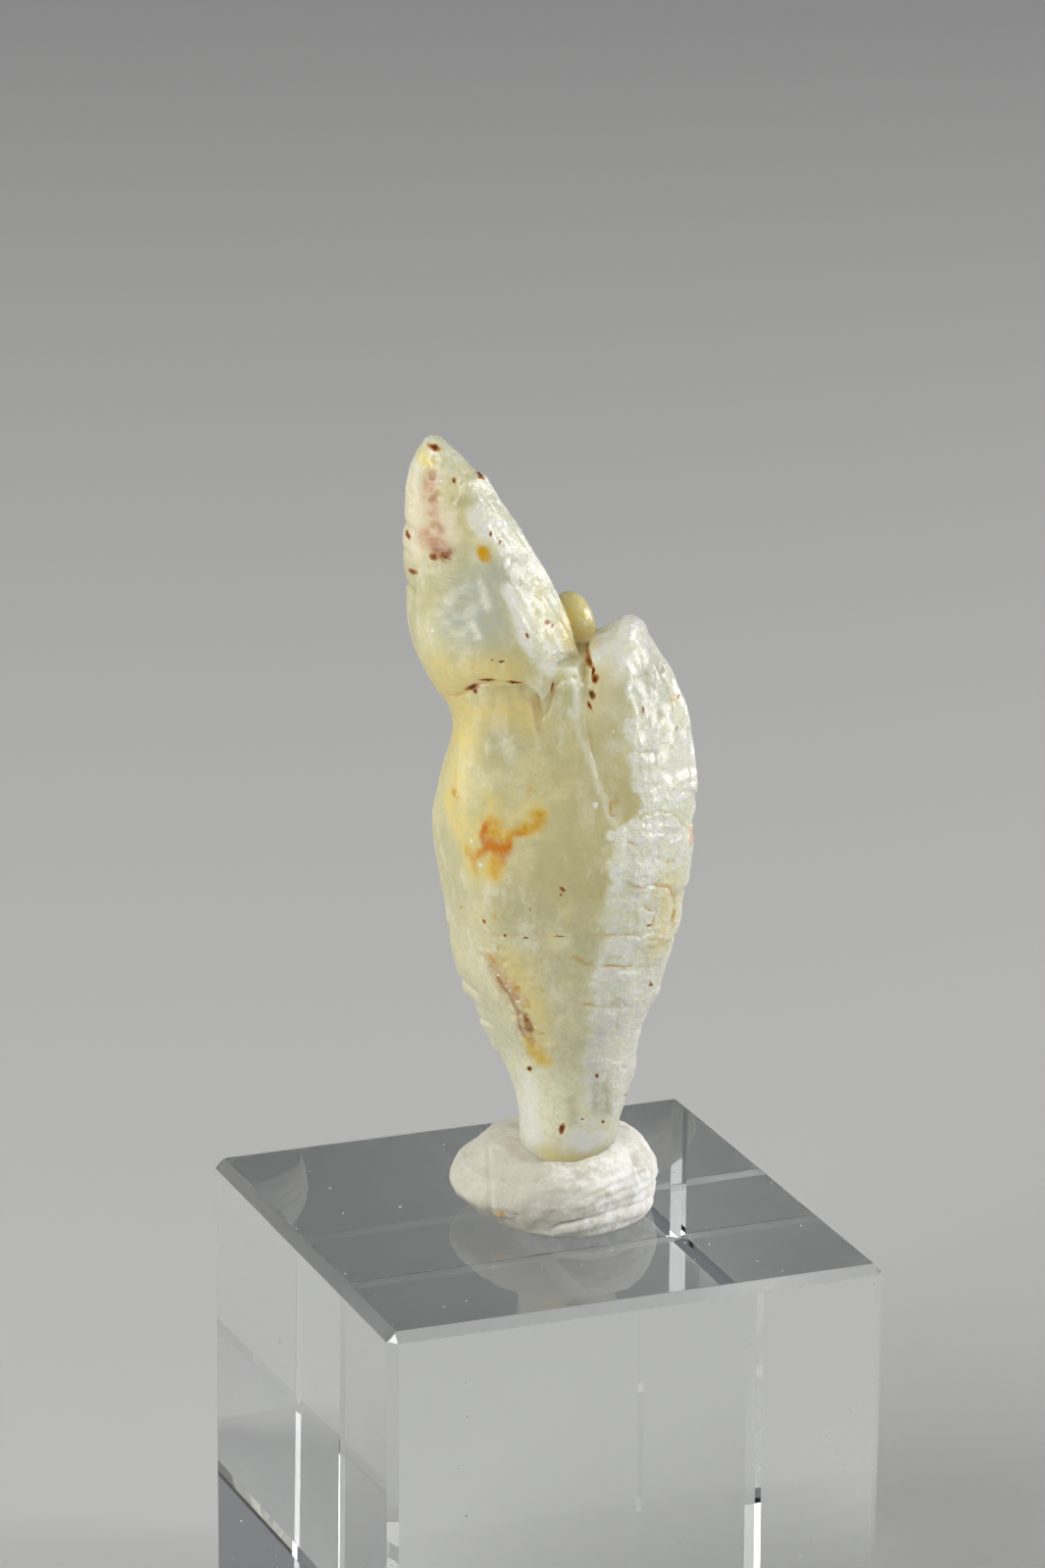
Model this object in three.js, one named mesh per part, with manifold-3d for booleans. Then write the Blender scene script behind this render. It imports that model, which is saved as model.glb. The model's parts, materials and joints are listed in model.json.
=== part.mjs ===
// A natural sapphire crystal set in mounting putty on a clear glass display block.
// Millimetres, +Z up. The origin is the middle of the block's underside.
//
// The specimen has a frame of its own: "across" runs to the right along its broad face,
// "forward" runs out of that face, and "height" is measured up from the block's top.

import * as THREE from 'three';
import Module from 'manifold-3d';
import { ConvexGeometry } from 'three/addons/geometries/ConvexGeometry.js';
import { mergeVertices } from 'three/addons/utils/BufferGeometryUtils.js';

// ---------------------------------------------------------------- driving dimensions

const BLOCK_SIDE = 20;
const BLOCK_CHAMFER = 0.35;

const SPECIMEN_TURN = -21.7;        // degrees that the broad face is turned from the block's front
const FOOT_END = 0.9;               // the crystal's foot stops this far above the block
const PUTTY_GAP = 0.3;              // clearance between the crystal's foot and the putty

const FACE_STEPS = 3;               // strips across each crystal face
const FACE_CROWN = 0.035;           // how far a face bulges, as a share of its width
const LEVEL_STEP = 0.62;            // height between two sections of a crystal
const TIP_LENGTH = 1.4;             // the last part of a crystal, which has closer sections
const TIP_STEP = 0.17;
const LEDGE_HEIGHT = 0.09;          // height of one growth ledge
const ETCH_DEPTH = 0.028;           // unevenness of the etched faces

const CAP_SLOPE = 0.4;              // the cap crystal's base rises forward by this much
const CAP_SLOPE_END = 25;           // height at which that slope has died away

const PUTTY_MIDDLE = { across: 0.43, forward: -0.4 };
const PUTTY_RADIUS = 3.88;          // at its widest, where it bulges over the block
const PUTTY_COLLAR = { across: 0.97, forward: 0.05, halfWidth: 2, halfDepth: 1.8 };
const PUTTY_RIM_HEIGHT = 3;
const PUTTY_SIDES = 52;

// ---------------------------------------------------------------- crystal edges
// Each edge is a list of [height, across, forward], from the bottom up.
// The edges of one crystal go round it in order: left, front left, front right and so on.

const MAIN_CRYSTAL = {
  from: FOOT_END,
  to: 22.7,
  ledges: [7.5, 8.65, 11.5, 13.4, 16.25],
  edges: [
    // left
    [[0.9, -0.95, 0], [3.8, -1.06, 0], [4.8, -1.18, 0], [5.7, -1.56, 0.1], [7.1, -2.2, 0.1], [7.5, -2.34, 0.1],
      [7.6, -2.46, 0.1], [8.6, -2.74, 0.15], [8.75, -3.04, 0.15], [10.4, -3.5, 0.2], [12.3, -3.8, 0.2],
      [14.2, -4.14, 0.3], [15.6, -4.34, 0.3], [16.5, -4.32, 0.3], [17.5, -4.16, 0.3], [18.4, -3.94, 0.3],
      [19.8, -3.46, 0.3], [21, -3.2, 0.2], [22.7, -2.7, 0.1]],
    // front left
    [[0.9, -0.1, 1.75], [4, -0.08, 1.8], [5.5, 0, 1.9], [6.5, 0, 2.15], [7.4, -0.35, 2.5], [8, -0.73, 2.75],
      [10, -1.43, 3.1], [12, -2.18, 3.35], [14, -2.32, 3.5], [15, -2.48, 3.55], [16, -2.77, 3.45],
      [18, -3.12, 3.1], [19, -3.05, 3.02], [20, -2.81, 3], [21.3, -2.67, 2.92], [22.7, -2.4, 2.6]],
    // front right
    [[0.9, 1.62, 1.8], [4, 1.63, 1.9], [5, 1.69, 1.95], [7, 1.71, 2.4], [8, 1.86, 2.8], [9, 2.04, 3.05],
      [10, 2.22, 3.25], [12, 2.4, 3.6], [14, 2.7, 3.85], [15, 2.7, 3.9], [16, 2.52, 3.9], [17, 2.13, 3.85],
      [18, 1.82, 3.75], [20, 1.32, 3.5], [22, 0.84, 3.2], [22.7, 0.66, 3.05]],
    // outer side of the narrow bevel on the right
    [[0.9, 2.1, 1.3], [5, 2.35, 1.5], [7, 2.45, 1.95], [9, 2.85, 2.4], [12, 3.35, 2.9], [14, 3.5, 3.15],
      [15.6, 3.35, 3.3], [16.2, 2.95, 3.4], [17, 2.41, 3.42], [18, 2.06, 3.32], [20, 1.55, 3.08],
      [22, 1.22, 2.8], [22.7, 1.12, 2.6]],
    // right
    [[0.9, 2.6, 0], [3.3, 2.95, 0], [4.3, 3.28, 0], [4.9, 3.48, 0], [5.7, 3.6, 0], [6.65, 3.5, 0], [7.1, 3.58, 0.1],
      [8.1, 3.88, 0.2], [9, 4.33, 0.3], [10, 4.64, 0.4], [11.45, 4.9, 0.5], [11.55, 5.06, 0.5], [12.8, 5.26, 0.5],
      [13.35, 5.29, 0.5], [13.45, 5.38, 0.5], [15.1, 5.54, 0.5], [16.2, 5.56, 0.5], [16.3, 5.62, 0.4],
      [17.5, 5.3, 0.3], [18.5, 4.6, 0.3], [20, 3.4, 0.4], [22.7, 1.9, 0.6]],
    // back right
    [[0.9, 1.95, -1.6], [4, 2.05, -1.7], [6, 2.35, -1.9], [8, 2.75, -2.5], [10, 3.15, -3], [12, 3.45, -3.4],
      [14, 3.55, -3.7], [16, 3.5, -3.8], [18, 3, -3.65], [20, 2.2, -3.2], [22.7, 1, -2.3]],
    // back
    [[0.9, 0.95, -1.85], [6, 0.8, -2.2], [9, 0.6, -3.1], [12, 0.5, -3.55], [15, 0.4, -3.6], [18, 0.3, -3.5],
      [20, 0, -3.2], [22.7, -0.4, -2.4]],
    // back left
    [[0.9, 0, -1.6], [4, -0.1, -1.7], [6, -0.35, -1.9], [8, -1, -2.4], [10, -1.5, -2.9], [12, -1.95, -3.3],
      [14, -2.3, -3.6], [16, -2.55, -3.65], [18, -2.4, -3.4], [19.8, -2.1, -2.9], [22.7, -1.9, -2.2]],
  ],
};

const CAP_CRYSTAL = {
  from: 19.4,
  to: 30.95,
  ledges: [20.75, 25, 27.2, 29.4],
  slope: true,
  edges: [
    // left
    [[19.4, -3.2, 0.2], [19.85, -3.46, 0.2], [20.7, -3.98, 0.2], [20.8, -4.16, 0.2], [21.6, -4.72, 0.2],
      [22.6, -5.14, 0.2], [23.6, -5.37, 0.2], [24.95, -5.47, 0.2], [25.05, -5.33, 0.2], [25.6, -5.46, 0.2],
      [26.6, -5.61, 0.2], [27.15, -5.56, 0.2], [27.25, -5.45, 0.2], [27.8, -5.53, 0.2], [29.3, -5.4, 0.1],
      [29.9, -5.19, 0], [30.3, -5.01, 0], [30.6, -4.85, 0], [30.8, -4.68, 0], [30.95, -4.42, 0]],
    // front left
    [[19.4, -2.9, 2.5], [20.7, -3.42, 2.84], [20.8, -3.55, 2.95], [21.7, -4, 2.78], [23, -4.32, 2.6], [25.2, -4.62, 2.05],
      [27.5, -4.85, 1.45], [29.5, -4.86, 0.9], [30.5, -4.66, 0.55], [30.8, -4.5, 0.35], [30.95, -4.36, 0.12]],
    // front right
    [[19.4, -0.9, 3], [20.7, -0.76, 3.2], [20.8, -0.7, 3.33], [22.8, -0.98, 3.15], [24.1, -1.17, 2.9],
      [25.5, -1.42, 2.5], [26.7, -1.94, 2.15], [28.1, -2.61, 1.7], [29.3, -3.05, 1.3], [30, -3.36, 1],
      [30.6, -3.78, 0.62], [30.8, -4, 0.42], [30.95, -4.24, 0.15]],
    // right
    [[19.4, 1.3, 1.5], [20.7, 1.35, 1.6], [20.8, 1.42, 1.75], [22.3, 1.25, 1.5], [23.5, 0.98, 1], [24.8, 0.47, 0.6],
      [26, -0.18, 0.5], [27.2, -0.88, 0.4], [28.2, -1.46, 0.3], [29, -2.02, 0.2], [29.35, -2.26, 0.2],
      [29.45, -2.72, 0.2], [30.2, -3.18, 0.1], [30.6, -3.62, 0], [30.8, -3.95, 0], [30.95, -4.24, 0]],
    // back right
    [[19.4, 0.5, -2.2], [22.5, 0.3, -2.35], [24.5, -0.6, -2.3], [26.5, -1.7, -1.95], [28.2, -2.5, -1.45],
      [29.4, -3.2, -1.05], [30.5, -3.9, -0.6], [30.8, -4.1, -0.35], [30.95, -4.28, -0.12]],
    // back left
    [[19.4, -2.4, -2], [20.7, -2.8, -2.2], [20.8, -3, -2.35], [22.5, -3.8, -2.3], [24.5, -4.35, -2.1],
      [26.5, -4.7, -1.75], [28.2, -4.82, -1.3], [29.6, -4.85, -0.85], [30.6, -4.6, -0.5], [30.8, -4.5, -0.32],
      [30.95, -4.36, -0.12]],
  ],
};

const SHOULDER_CRYSTAL = {
  from: 10,
  to: 23.87,
  ledges: [13.4, 16.25, 17.9],
  edges: [
    // left, down in the groove against the main crystal
    [[10, 1.5, 0], [20, 1.45, 0], [22.4, 1.58, 0], [23, 1.66, 0], [23.12, 2, 0], [23.22, 2.44, 0], [23.36, 2.6, 0.1],
      [23.6, 2.7, 0.2], [23.87, 2.86, 0.2]],
    // front left
    [[10, 2.2, 2.4], [16, 2, 3.22], [18, 1.85, 3.18], [20, 1.6, 3.02], [22, 1.57, 2.74], [22.7, 1.62, 2.5],
      [23, 1.7, 2.15], [23.14, 1.95, 1.75], [23.3, 2.45, 1.3], [23.6, 2.72, 0.95], [23.87, 2.94, 0.5]],
    // front right
    [[10, 3.3, 2.3], [14, 3.55, 2.85], [16, 3.64, 3.14], [17, 3.57, 3.14], [18, 3.42, 3.08], [20, 3.11, 2.9],
      [21, 2.99, 2.74], [22, 2.94, 2.48], [22.7, 3, 2.15], [23.2, 3.08, 1.75], [23.6, 3.1, 1.25], [23.87, 3.1, 0.55]],
    // right
    [[10, 4.3, 0.3], [14, 5.25, 0.4], [16.2, 5.57, 0.4], [16.3, 5.66, 0.4], [17.85, 5.72, 0.3], [17.95, 5.67, 0.3],
      [19, 5.62, 0.2], [20.3, 5.41, 0.1], [21.2, 5.02, 0], [22.1, 4.5, 0], [23, 3.97, 0], [23.3, 3.82, 0],
      [23.6, 3.64, 0], [23.78, 3.5, 0], [23.87, 3.38, 0.1]],
    // back right
    [[10, 3.2, -2.5], [14, 3.95, -2.8], [17, 4.2, -2.9], [20, 3.85, -2.55], [22, 3.3, -1.9], [23.3, 2.95, -1.15],
      [23.87, 3.08, -0.25]],
    // back left
    [[10, 1.8, -2.5], [17, 1.6, -2.6], [20, 1.6, -2.3], [22.3, 1.7, -1.65], [23.14, 2.05, -1], [23.87, 2.96, -0.1]],
  ],
};

// The small rounded crystal in the saddle: [height, half width, half depth], and where its middle lies.
const SADDLE_CRYSTAL = {
  middle: { across: 0.85, forward: -0.85 },
  sides: 14,
  girths: [[21.4, 1.1, 0.95], [22.3, 1.08, 0.95], [23.1, 1.04, 0.92], [23.6, 0.95, 0.84], [24, 0.78, 0.7],
    [24.3, 0.55, 0.5], [24.48, 0.3, 0.28], [24.54, 0.12, 0.12]],
};

// Flat growth plates: corners as [height, across, forward]; each plate is a closed slab.
const GROWTH_PLATES = [
  // raised slab at the top left of the broad face
  [[22.3, -2.65, 3.02], [22.3, -0.8, 3.2], [21.5, -0.42, 3.3], [19.9, -0.36, 3.4], [19.8, -1.3, 3.3],
    [20.1, -2.75, 3.1], [22.3, -2.6, 2.4], [22.3, -0.35, 2.6], [19.9, -0.1, 2.8], [19.8, -2.7, 2.5]],
  // tooth that hangs from the cap crystal's front edge
  [[22.9, -0.75, 3.33], [22.1, -0.72, 3.36], [21.45, -0.17, 3.44], [21.9, 0.2, 3.36], [22.55, 0.45, 2.95],
    [22.9, 0.4, 2.6], [22.9, -0.7, 2.5], [21.6, -0.15, 2.7]],
  // plate low on the right-hand faces
  [[14.9, 3.1, 3.22], [14.9, 5.3, 0.95], [12.9, 4.95, 1.05], [12.9, 2.9, 3.15], [14.9, 3.2, 1.5], [12.9, 3.2, 1.5],
    [14.9, 4.9, 0.5], [12.9, 4.6, 0.5]],
];

// Etched pits: where each one's middle lies, its half axes, and its lean from upright in the broad face.
const ETCH_PITS = [
  { height: 28.92, across: -3.45, forward: 1.56, half: [0.3, 0.24, 0.28], lean: 10 },
  { height: 28.1, across: -3.08, forward: 1.82, half: [0.26, 0.2, 0.3], lean: 20 },
  { height: 20.9, across: 4.15, forward: 1.86, half: [0.3, 0.24, 0.42], lean: -15 },
];

// The long etched furrow low on the broad face: its two ends as [height, across, forward].
const FURROW = {
  top: [11.35, -1.95, 3.42],
  bottom: [7.45, -0.14, 2.66],
  dents: 8,
  half: [0.4, 0.3, 0.78],
  lean: 26,
};

// ---------------------------------------------------------------- solids from meshes

const library = await Module();
library.setup();

function toSolid(geometry) {
  const plain = new THREE.BufferGeometry();
  plain.setAttribute('position', geometry.getAttribute('position').clone());
  if (geometry.index) {
    plain.setIndex(geometry.index.clone());
  }
  const merged = mergeVertices(plain, 1e-4);
  return new library.Manifold(new library.Mesh({
    numProp: 3,
    vertProperties: new Float32Array(merged.getAttribute('position').array),
    triVerts: new Uint32Array(merged.index.array),
  }));
}

function toGeometry(solid) {
  const mesh = solid.getMesh();
  const geometry = new THREE.BufferGeometry();
  geometry.setAttribute('position', new THREE.BufferAttribute(new Float32Array(mesh.vertProperties), 3));
  geometry.setIndex(new THREE.BufferAttribute(new Uint32Array(mesh.triVerts), 1));
  geometry.computeVertexNormals();
  return geometry;
}

// Joins rings of points, listed from the bottom up and anticlockwise from above, into one closed skin.
function closedSkin(rings) {
  const sides = rings[0].length;
  const positions = [];
  const triangles = [];
  for (const ring of rings) {
    for (const point of ring) {
      positions.push(point.x, point.y, point.z);
    }
  }
  for (let level = 0; level + 1 < rings.length; level += 1) {
    for (let side = 0; side < sides; side += 1) {
      const next = (side + 1) % sides;
      const low = level * sides + side;
      const lowNext = level * sides + next;
      triangles.push(low, lowNext, lowNext + sides);
      triangles.push(low, lowNext + sides, low + sides);
    }
  }
  for (const end of [0, rings.length - 1]) {
    const middle = new THREE.Vector3();
    rings[end].forEach((point) => middle.addScaledVector(point, 1 / sides));
    const hub = positions.length / 3;
    positions.push(middle.x, middle.y, middle.z);
    for (let side = 0; side < sides; side += 1) {
      const here = end * sides + side;
      const next = end * sides + (side + 1) % sides;
      triangles.push(...(end === 0 ? [hub, next, here] : [hub, here, next]));
    }
  }
  const geometry = new THREE.BufferGeometry();
  geometry.setAttribute('position', new THREE.Float32BufferAttribute(positions, 3));
  geometry.setIndex(triangles);
  return geometry;
}

// ---------------------------------------------------------------- the crystals

// A point of the specimen's frame, with "forward" along -Y.
function specimenPoint(height, across, forward) {
  return new THREE.Vector3(across, -forward, height);
}

// The point of an edge at one height, as [across, forward].
function edgeAt(edge, height) {
  const last = edge.length - 1;
  const above = edge.findIndex((knot) => knot[0] >= height);
  if (above === 0) {
    return edge[0].slice(1);
  }
  if (above < 0) {
    return edge[last].slice(1);
  }
  const low = edge[above - 1];
  const high = edge[above];
  const share = (height - low[0]) / (high[0] - low[0]);
  return [1, 2].map((axis) => THREE.MathUtils.lerp(low[axis], high[axis], share));
}

// Section heights: even steps, with a close pair at each growth ledge.
function sectionHeights(crystal) {
  const heights = [];
  for (let height = crystal.from; height < crystal.to - TIP_LENGTH; height += LEVEL_STEP) {
    heights.push(height);
  }
  for (let height = crystal.to; height > crystal.to - TIP_LENGTH + TIP_STEP / 2; height -= TIP_STEP) {
    heights.push(height);
  }
  const clear = heights.filter((height) => crystal.ledges.every((ledge) => Math.abs(height - ledge) > 0.2));
  for (const ledge of crystal.ledges) {
    clear.push(ledge - LEDGE_HEIGHT / 2, ledge + LEDGE_HEIGHT / 2);
  }
  return clear.sort((first, second) => first - second);
}

// Slow, uneven etching of a face; it is the same each time.
function etchAt(point) {
  const slow = Math.sin(point.x * 1.9 + point.z * 0.8) * Math.cos(point.y * 2.3 - point.z * 1.1);
  const quick = Math.sin(point.z * 4.7 + point.x * 1.3) * Math.cos(point.y * 1.7);
  return ETCH_DEPTH * (slow + 0.8 * quick);
}

// One ring of a crystal: its corners, with each face split in strips and slightly crowned.
function crystalRing(crystal, height, spread) {
  const corners = crystal.edges.map((edge) => edgeAt(edge, height));
  const middle = [0, 1].map((axis) => corners.reduce((sum, corner) => sum + corner[axis], 0) / corners.length);
  const ring = [];
  corners.forEach((corner, index) => {
    const next = corners[(index + 1) % corners.length];
    const run = [next[0] - corner[0], next[1] - corner[1]];
    const width = Math.hypot(run[0], run[1]);
    for (let strip = 0; strip < FACE_STEPS; strip += 1) {
      const share = strip / FACE_STEPS;
      const crown = FACE_CROWN * width * 4 * share * (1 - share);
      const across = corner[0] + run[0] * share + crown * run[1] / width * -1;
      const forward = corner[1] + run[1] * share + crown * run[0] / width;
      const away = Math.hypot(across - middle[0], forward - middle[1]);
      const etch = spread > 0 ? spread : etchAt(specimenPoint(height, across, forward));
      const grow = away > 0.3 ? 1 + etch / away : 1;
      const grownAcross = middle[0] + (across - middle[0]) * grow;
      const grownForward = middle[1] + (forward - middle[1]) * grow;
      const slope = crystal.slope ? CAP_SLOPE * Math.max(0, (CAP_SLOPE_END - height) / (CAP_SLOPE_END - 20.8)) : 0;
      const rise = Math.min(slope, CAP_SLOPE) * grownForward;
      ring.push(specimenPoint(height + rise, grownAcross, grownForward));
    }
  });
  return ring;
}

function crystalSolid(crystal) {
  return toSolid(closedSkin(sectionHeights(crystal).map((height) => crystalRing(crystal, height, 0))));
}

function saddleSolid() {
  const { middle, sides, girths } = SADDLE_CRYSTAL;
  const rings = girths.map(([height, halfWidth, halfDepth]) => {
    const ring = [];
    for (let side = 0; side < sides; side += 1) {
      const turn = side / sides * Math.PI * 2;
      const across = middle.across + Math.cos(turn) * halfWidth;
      ring.push(new THREE.Vector3(across, -middle.forward + Math.sin(turn) * halfDepth, height));
    }
    return ring;
  });
  return toSolid(closedSkin(rings));
}

function plateSolid(corners) {
  return toSolid(new ConvexGeometry(corners.map(([height, across, forward]) => specimenPoint(height, across, forward))));
}

function pitSolid(pit) {
  const ball = new THREE.IcosahedronGeometry(1, 2);
  ball.scale(...pit.half);
  ball.rotateY(THREE.MathUtils.degToRad(-pit.lean));
  const middle = specimenPoint(pit.height, pit.across, pit.forward);
  ball.translate(middle.x, middle.y, middle.z);
  return toSolid(ball);
}

// The furrow is a row of overlapping dents that wander a little from side to side.
function furrowPits() {
  const pits = [];
  for (let dent = 0; dent < FURROW.dents; dent += 1) {
    const share = dent / (FURROW.dents - 1);
    const [height, across, forward] = [0, 1, 2].map((axis) => (
      THREE.MathUtils.lerp(FURROW.top[axis], FURROW.bottom[axis], share)));
    const wander = 0.09 * Math.sin(dent * 2.4);
    const size = 0.8 + 0.25 * Math.sin(share * Math.PI) + 0.06 * Math.cos(dent * 1.9);
    pits.push({
      height,
      across: across + wander,
      forward,
      half: FURROW.half.map((axis) => axis * size),
      lean: FURROW.lean,
    });
  }
  return pits;
}

function sapphireGeometry() {
  let solid = crystalSolid(MAIN_CRYSTAL);
  solid = solid.add(crystalSolid(SHOULDER_CRYSTAL));
  solid = solid.add(crystalSolid(CAP_CRYSTAL));
  solid = solid.add(saddleSolid());
  for (const corners of GROWTH_PLATES) {
    solid = solid.add(plateSolid(corners));
  }
  for (const pit of [...ETCH_PITS, ...furrowPits()]) {
    solid = solid.subtract(pitSolid(pit));
  }
  return toGeometry(solid);
}

// ---------------------------------------------------------------- the putty

// How far the putty reaches out at one turn, squeezed by fingers into soft flats.
function puttyReach(turn) {
  const flats = 0.022 * Math.cos(2 * turn + 0.3) + 0.02 * Math.cos(3 * turn - 1.1) + 0.01 * Math.cos(5 * turn + 0.4);
  return PUTTY_RADIUS * (1 + flats);
}

// The putty's profile at one turn, from the block up over the rim to the middle: [share, height].
// A share of 0 is the collar against the crystal's foot and a share of 1 is the widest bulge.
function puttyProfile(turn) {
  const rim = PUTTY_RIM_HEIGHT + 0.22 * Math.sin(turn) + 0.05 * Math.cos(turn);
  const rightRoll = Math.max(0, Math.cos(turn + 0.6));
  const leftCut = Math.max(0, Math.cos(turn - Math.PI - 0.35));
  return [
    [0.72 + 0.06 * rightRoll - 0.22 * leftCut, 0],
    [0.79 + 0.06 * rightRoll - 0.22 * leftCut, 0.12],
    [0.88 + 0.04 * rightRoll - 0.14 * leftCut, 0.5],
    [0.96 - 0.07 * leftCut, 0.85],
    [1 - 0.07 * rightRoll, 1.15],
    [1, 1.4],
    [0.97, 1.75],
    [0.88, 2.15],
    [0.7, rim - 0.5],
    [0.5, rim - 0.22],
    [0.3, rim - 0.04],
    [0.14, rim],
    [0.02, rim - 0.12],
    [-0.35, rim - 0.3],
  ];
}

function puttyPoint(turn, share, height) {
  const reach = puttyReach(turn);
  const inner = [
    PUTTY_COLLAR.across + PUTTY_COLLAR.halfWidth * Math.cos(turn),
    -PUTTY_COLLAR.forward + PUTTY_COLLAR.halfDepth * Math.sin(turn),
  ];
  const outer = [PUTTY_MIDDLE.across + reach * Math.cos(turn), -PUTTY_MIDDLE.forward + reach * Math.sin(turn)];
  return new THREE.Vector3(
    THREE.MathUtils.lerp(inner[0], outer[0], share),
    THREE.MathUtils.lerp(inner[1], outer[1], share),
    height,
  );
}

function puttyBody() {
  const turns = [];
  for (let side = 0; side < PUTTY_SIDES; side += 1) {
    turns.push(side / PUTTY_SIDES * Math.PI * 2);
  }
  const levels = puttyProfile(0).length;
  const rings = [];
  for (let level = 0; level < levels; level += 1) {
    rings.push(turns.map((turn) => puttyPoint(turn, ...puttyProfile(turn)[level])));
  }
  return toSolid(closedSkin(rings));
}

function puttyGeometry() {
  const socketHeights = [FOOT_END - PUTTY_GAP, 1.6, 2.4, 3.2, 4.2];
  const socket = closedSkin(socketHeights.map((height) => {
    const ring = crystalRing(MAIN_CRYSTAL, Math.max(height, FOOT_END), PUTTY_GAP * 1.15);
    ring.forEach((point) => point.setZ(height));
    return ring;
  }));
  return toGeometry(puttyBody().subtract(toSolid(socket)));
}

// ---------------------------------------------------------------- the block

function blockGeometry() {
  const half = BLOCK_SIDE / 2;
  const inner = half - BLOCK_CHAMFER;
  const corners = [];
  for (const signs of [0, 1, 2, 3, 4, 5, 6, 7]) {
    const sign = [signs & 1 ? 1 : -1, signs & 2 ? 1 : -1, signs & 4 ? 1 : -1];
    for (const outer of [0, 1, 2]) {
      const reach = [inner, inner, inner];
      reach[outer] = half;
      corners.push(new THREE.Vector3(sign[0] * reach[0], sign[1] * reach[1], sign[2] * reach[2] + half));
    }
  }
  return new ConvexGeometry(corners);
}

// ---------------------------------------------------------------- the model

function namedMesh(name, geometry, finish) {
  const mesh = new THREE.Mesh(geometry, new THREE.MeshStandardMaterial(finish));
  mesh.name = name;
  return mesh;
}

const glassBlock = namedMesh('glass_block', blockGeometry(), {
  color: 0xdfe6e8, roughness: 0.03, metalness: 0, transparent: true, opacity: 0.35,
});
const putty = namedMesh('mineral_putty', puttyGeometry(), { color: 0xdcdad2, roughness: 0.85, metalness: 0 });
const sapphire = namedMesh('sapphire_crystal', sapphireGeometry(), { color: 0xd6d5b0, roughness: 0.28, metalness: 0 });

const specimen = new THREE.Group();
specimen.position.z = BLOCK_SIDE;
specimen.rotation.z = THREE.MathUtils.degToRad(SPECIMEN_TURN);
specimen.add(putty, sapphire);

const model = new THREE.Group();
model.add(glassBlock, specimen);

export default model;
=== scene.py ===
"""A natural sapphire crystal set in mounting putty on a clear glass display block.

The crystal is a grown-together group: a barrel-shaped main crystal, a leaning cap crystal,
a shoulder crystal and a small rounded one in the saddle between them. Its skin is etched,
stepped and stained by iron. Meshes are shaped in millimetres in the specimen's own frame
and are brought to metres, in the row frame, at the end.
"""

import json
import logging
import math
from dataclasses import dataclass, field
from enum import Enum
from functools import reduce

import bpy
import numpy as np
from mathutils import Matrix, Vector
from mathutils.bvhtree import BVHTree

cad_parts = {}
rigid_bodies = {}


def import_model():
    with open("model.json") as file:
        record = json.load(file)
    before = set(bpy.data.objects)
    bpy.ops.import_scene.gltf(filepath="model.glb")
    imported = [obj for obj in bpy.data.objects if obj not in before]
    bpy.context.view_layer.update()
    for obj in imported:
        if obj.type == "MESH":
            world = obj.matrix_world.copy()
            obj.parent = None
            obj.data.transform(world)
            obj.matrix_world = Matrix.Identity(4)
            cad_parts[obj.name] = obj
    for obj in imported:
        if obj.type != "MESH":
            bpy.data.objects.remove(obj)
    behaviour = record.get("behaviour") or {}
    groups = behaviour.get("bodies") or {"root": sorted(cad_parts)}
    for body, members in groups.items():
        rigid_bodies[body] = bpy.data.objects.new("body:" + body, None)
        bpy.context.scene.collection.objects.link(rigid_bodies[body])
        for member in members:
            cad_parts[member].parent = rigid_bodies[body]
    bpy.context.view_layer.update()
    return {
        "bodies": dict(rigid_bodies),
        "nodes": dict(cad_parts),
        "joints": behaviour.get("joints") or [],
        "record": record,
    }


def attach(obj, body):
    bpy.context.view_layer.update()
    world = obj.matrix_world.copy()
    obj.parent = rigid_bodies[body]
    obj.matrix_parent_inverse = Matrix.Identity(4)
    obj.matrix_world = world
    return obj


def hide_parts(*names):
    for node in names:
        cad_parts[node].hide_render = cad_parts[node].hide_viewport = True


LOG = logging.getLogger("sapphire_specimen")
MM = 0.001
BODY = "root"
BLOCK_SIDE = 20.0
MERGE_REACH = 0.001
SHORTEST = 0.001

Array = np.ndarray
Piece = bpy.types.Object
Socket = bpy.types.NodeSocket
Colour = tuple[float, float, float, float]
Point = tuple[float, float, float]
Place = tuple[float, float]
Line = tuple[Place, ...]


def srgb(red: int, green: int, blue: int) -> Colour:
    """Turns a screen colour, 0 to 255 a channel, into a linear shader colour with an alpha of 1."""
    linear = [((c / 255 + 0.055) / 1.055) ** 2.4 if c > 10 else c / 3294.6 for c in (red, green, blue)]
    return (linear[0], linear[1], linear[2], 1.0)


def smooth_step(value: Array, low: float, high: float) -> Array:
    """Rises smoothly from 0 at low to 1 at high, which may be below low."""
    share = np.clip((value - low) / (high - low), 0, 1)
    return share * share * (3 - 2 * share)


def bell(value: Array, width: float) -> Array:
    """Falls smoothly from 1 at 0 towards 0 on both sides."""
    return np.exp(-((value / width) ** 2))


def height_along(line: Line, across: Array) -> Array:
    """The height of a line, given as across and height, at each place across."""
    knots = np.array(line)
    return np.interp(across, knots[:, 0], knots[:, 1])


def across_along(line: Line, height: Array) -> Array:
    """The place across of a line, given as across and height, at each height."""
    knots = np.array(line)
    return np.interp(height, knots[:, 1], knots[:, 0])


# ---------------------------------------------------------------- the specimen's frame


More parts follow.
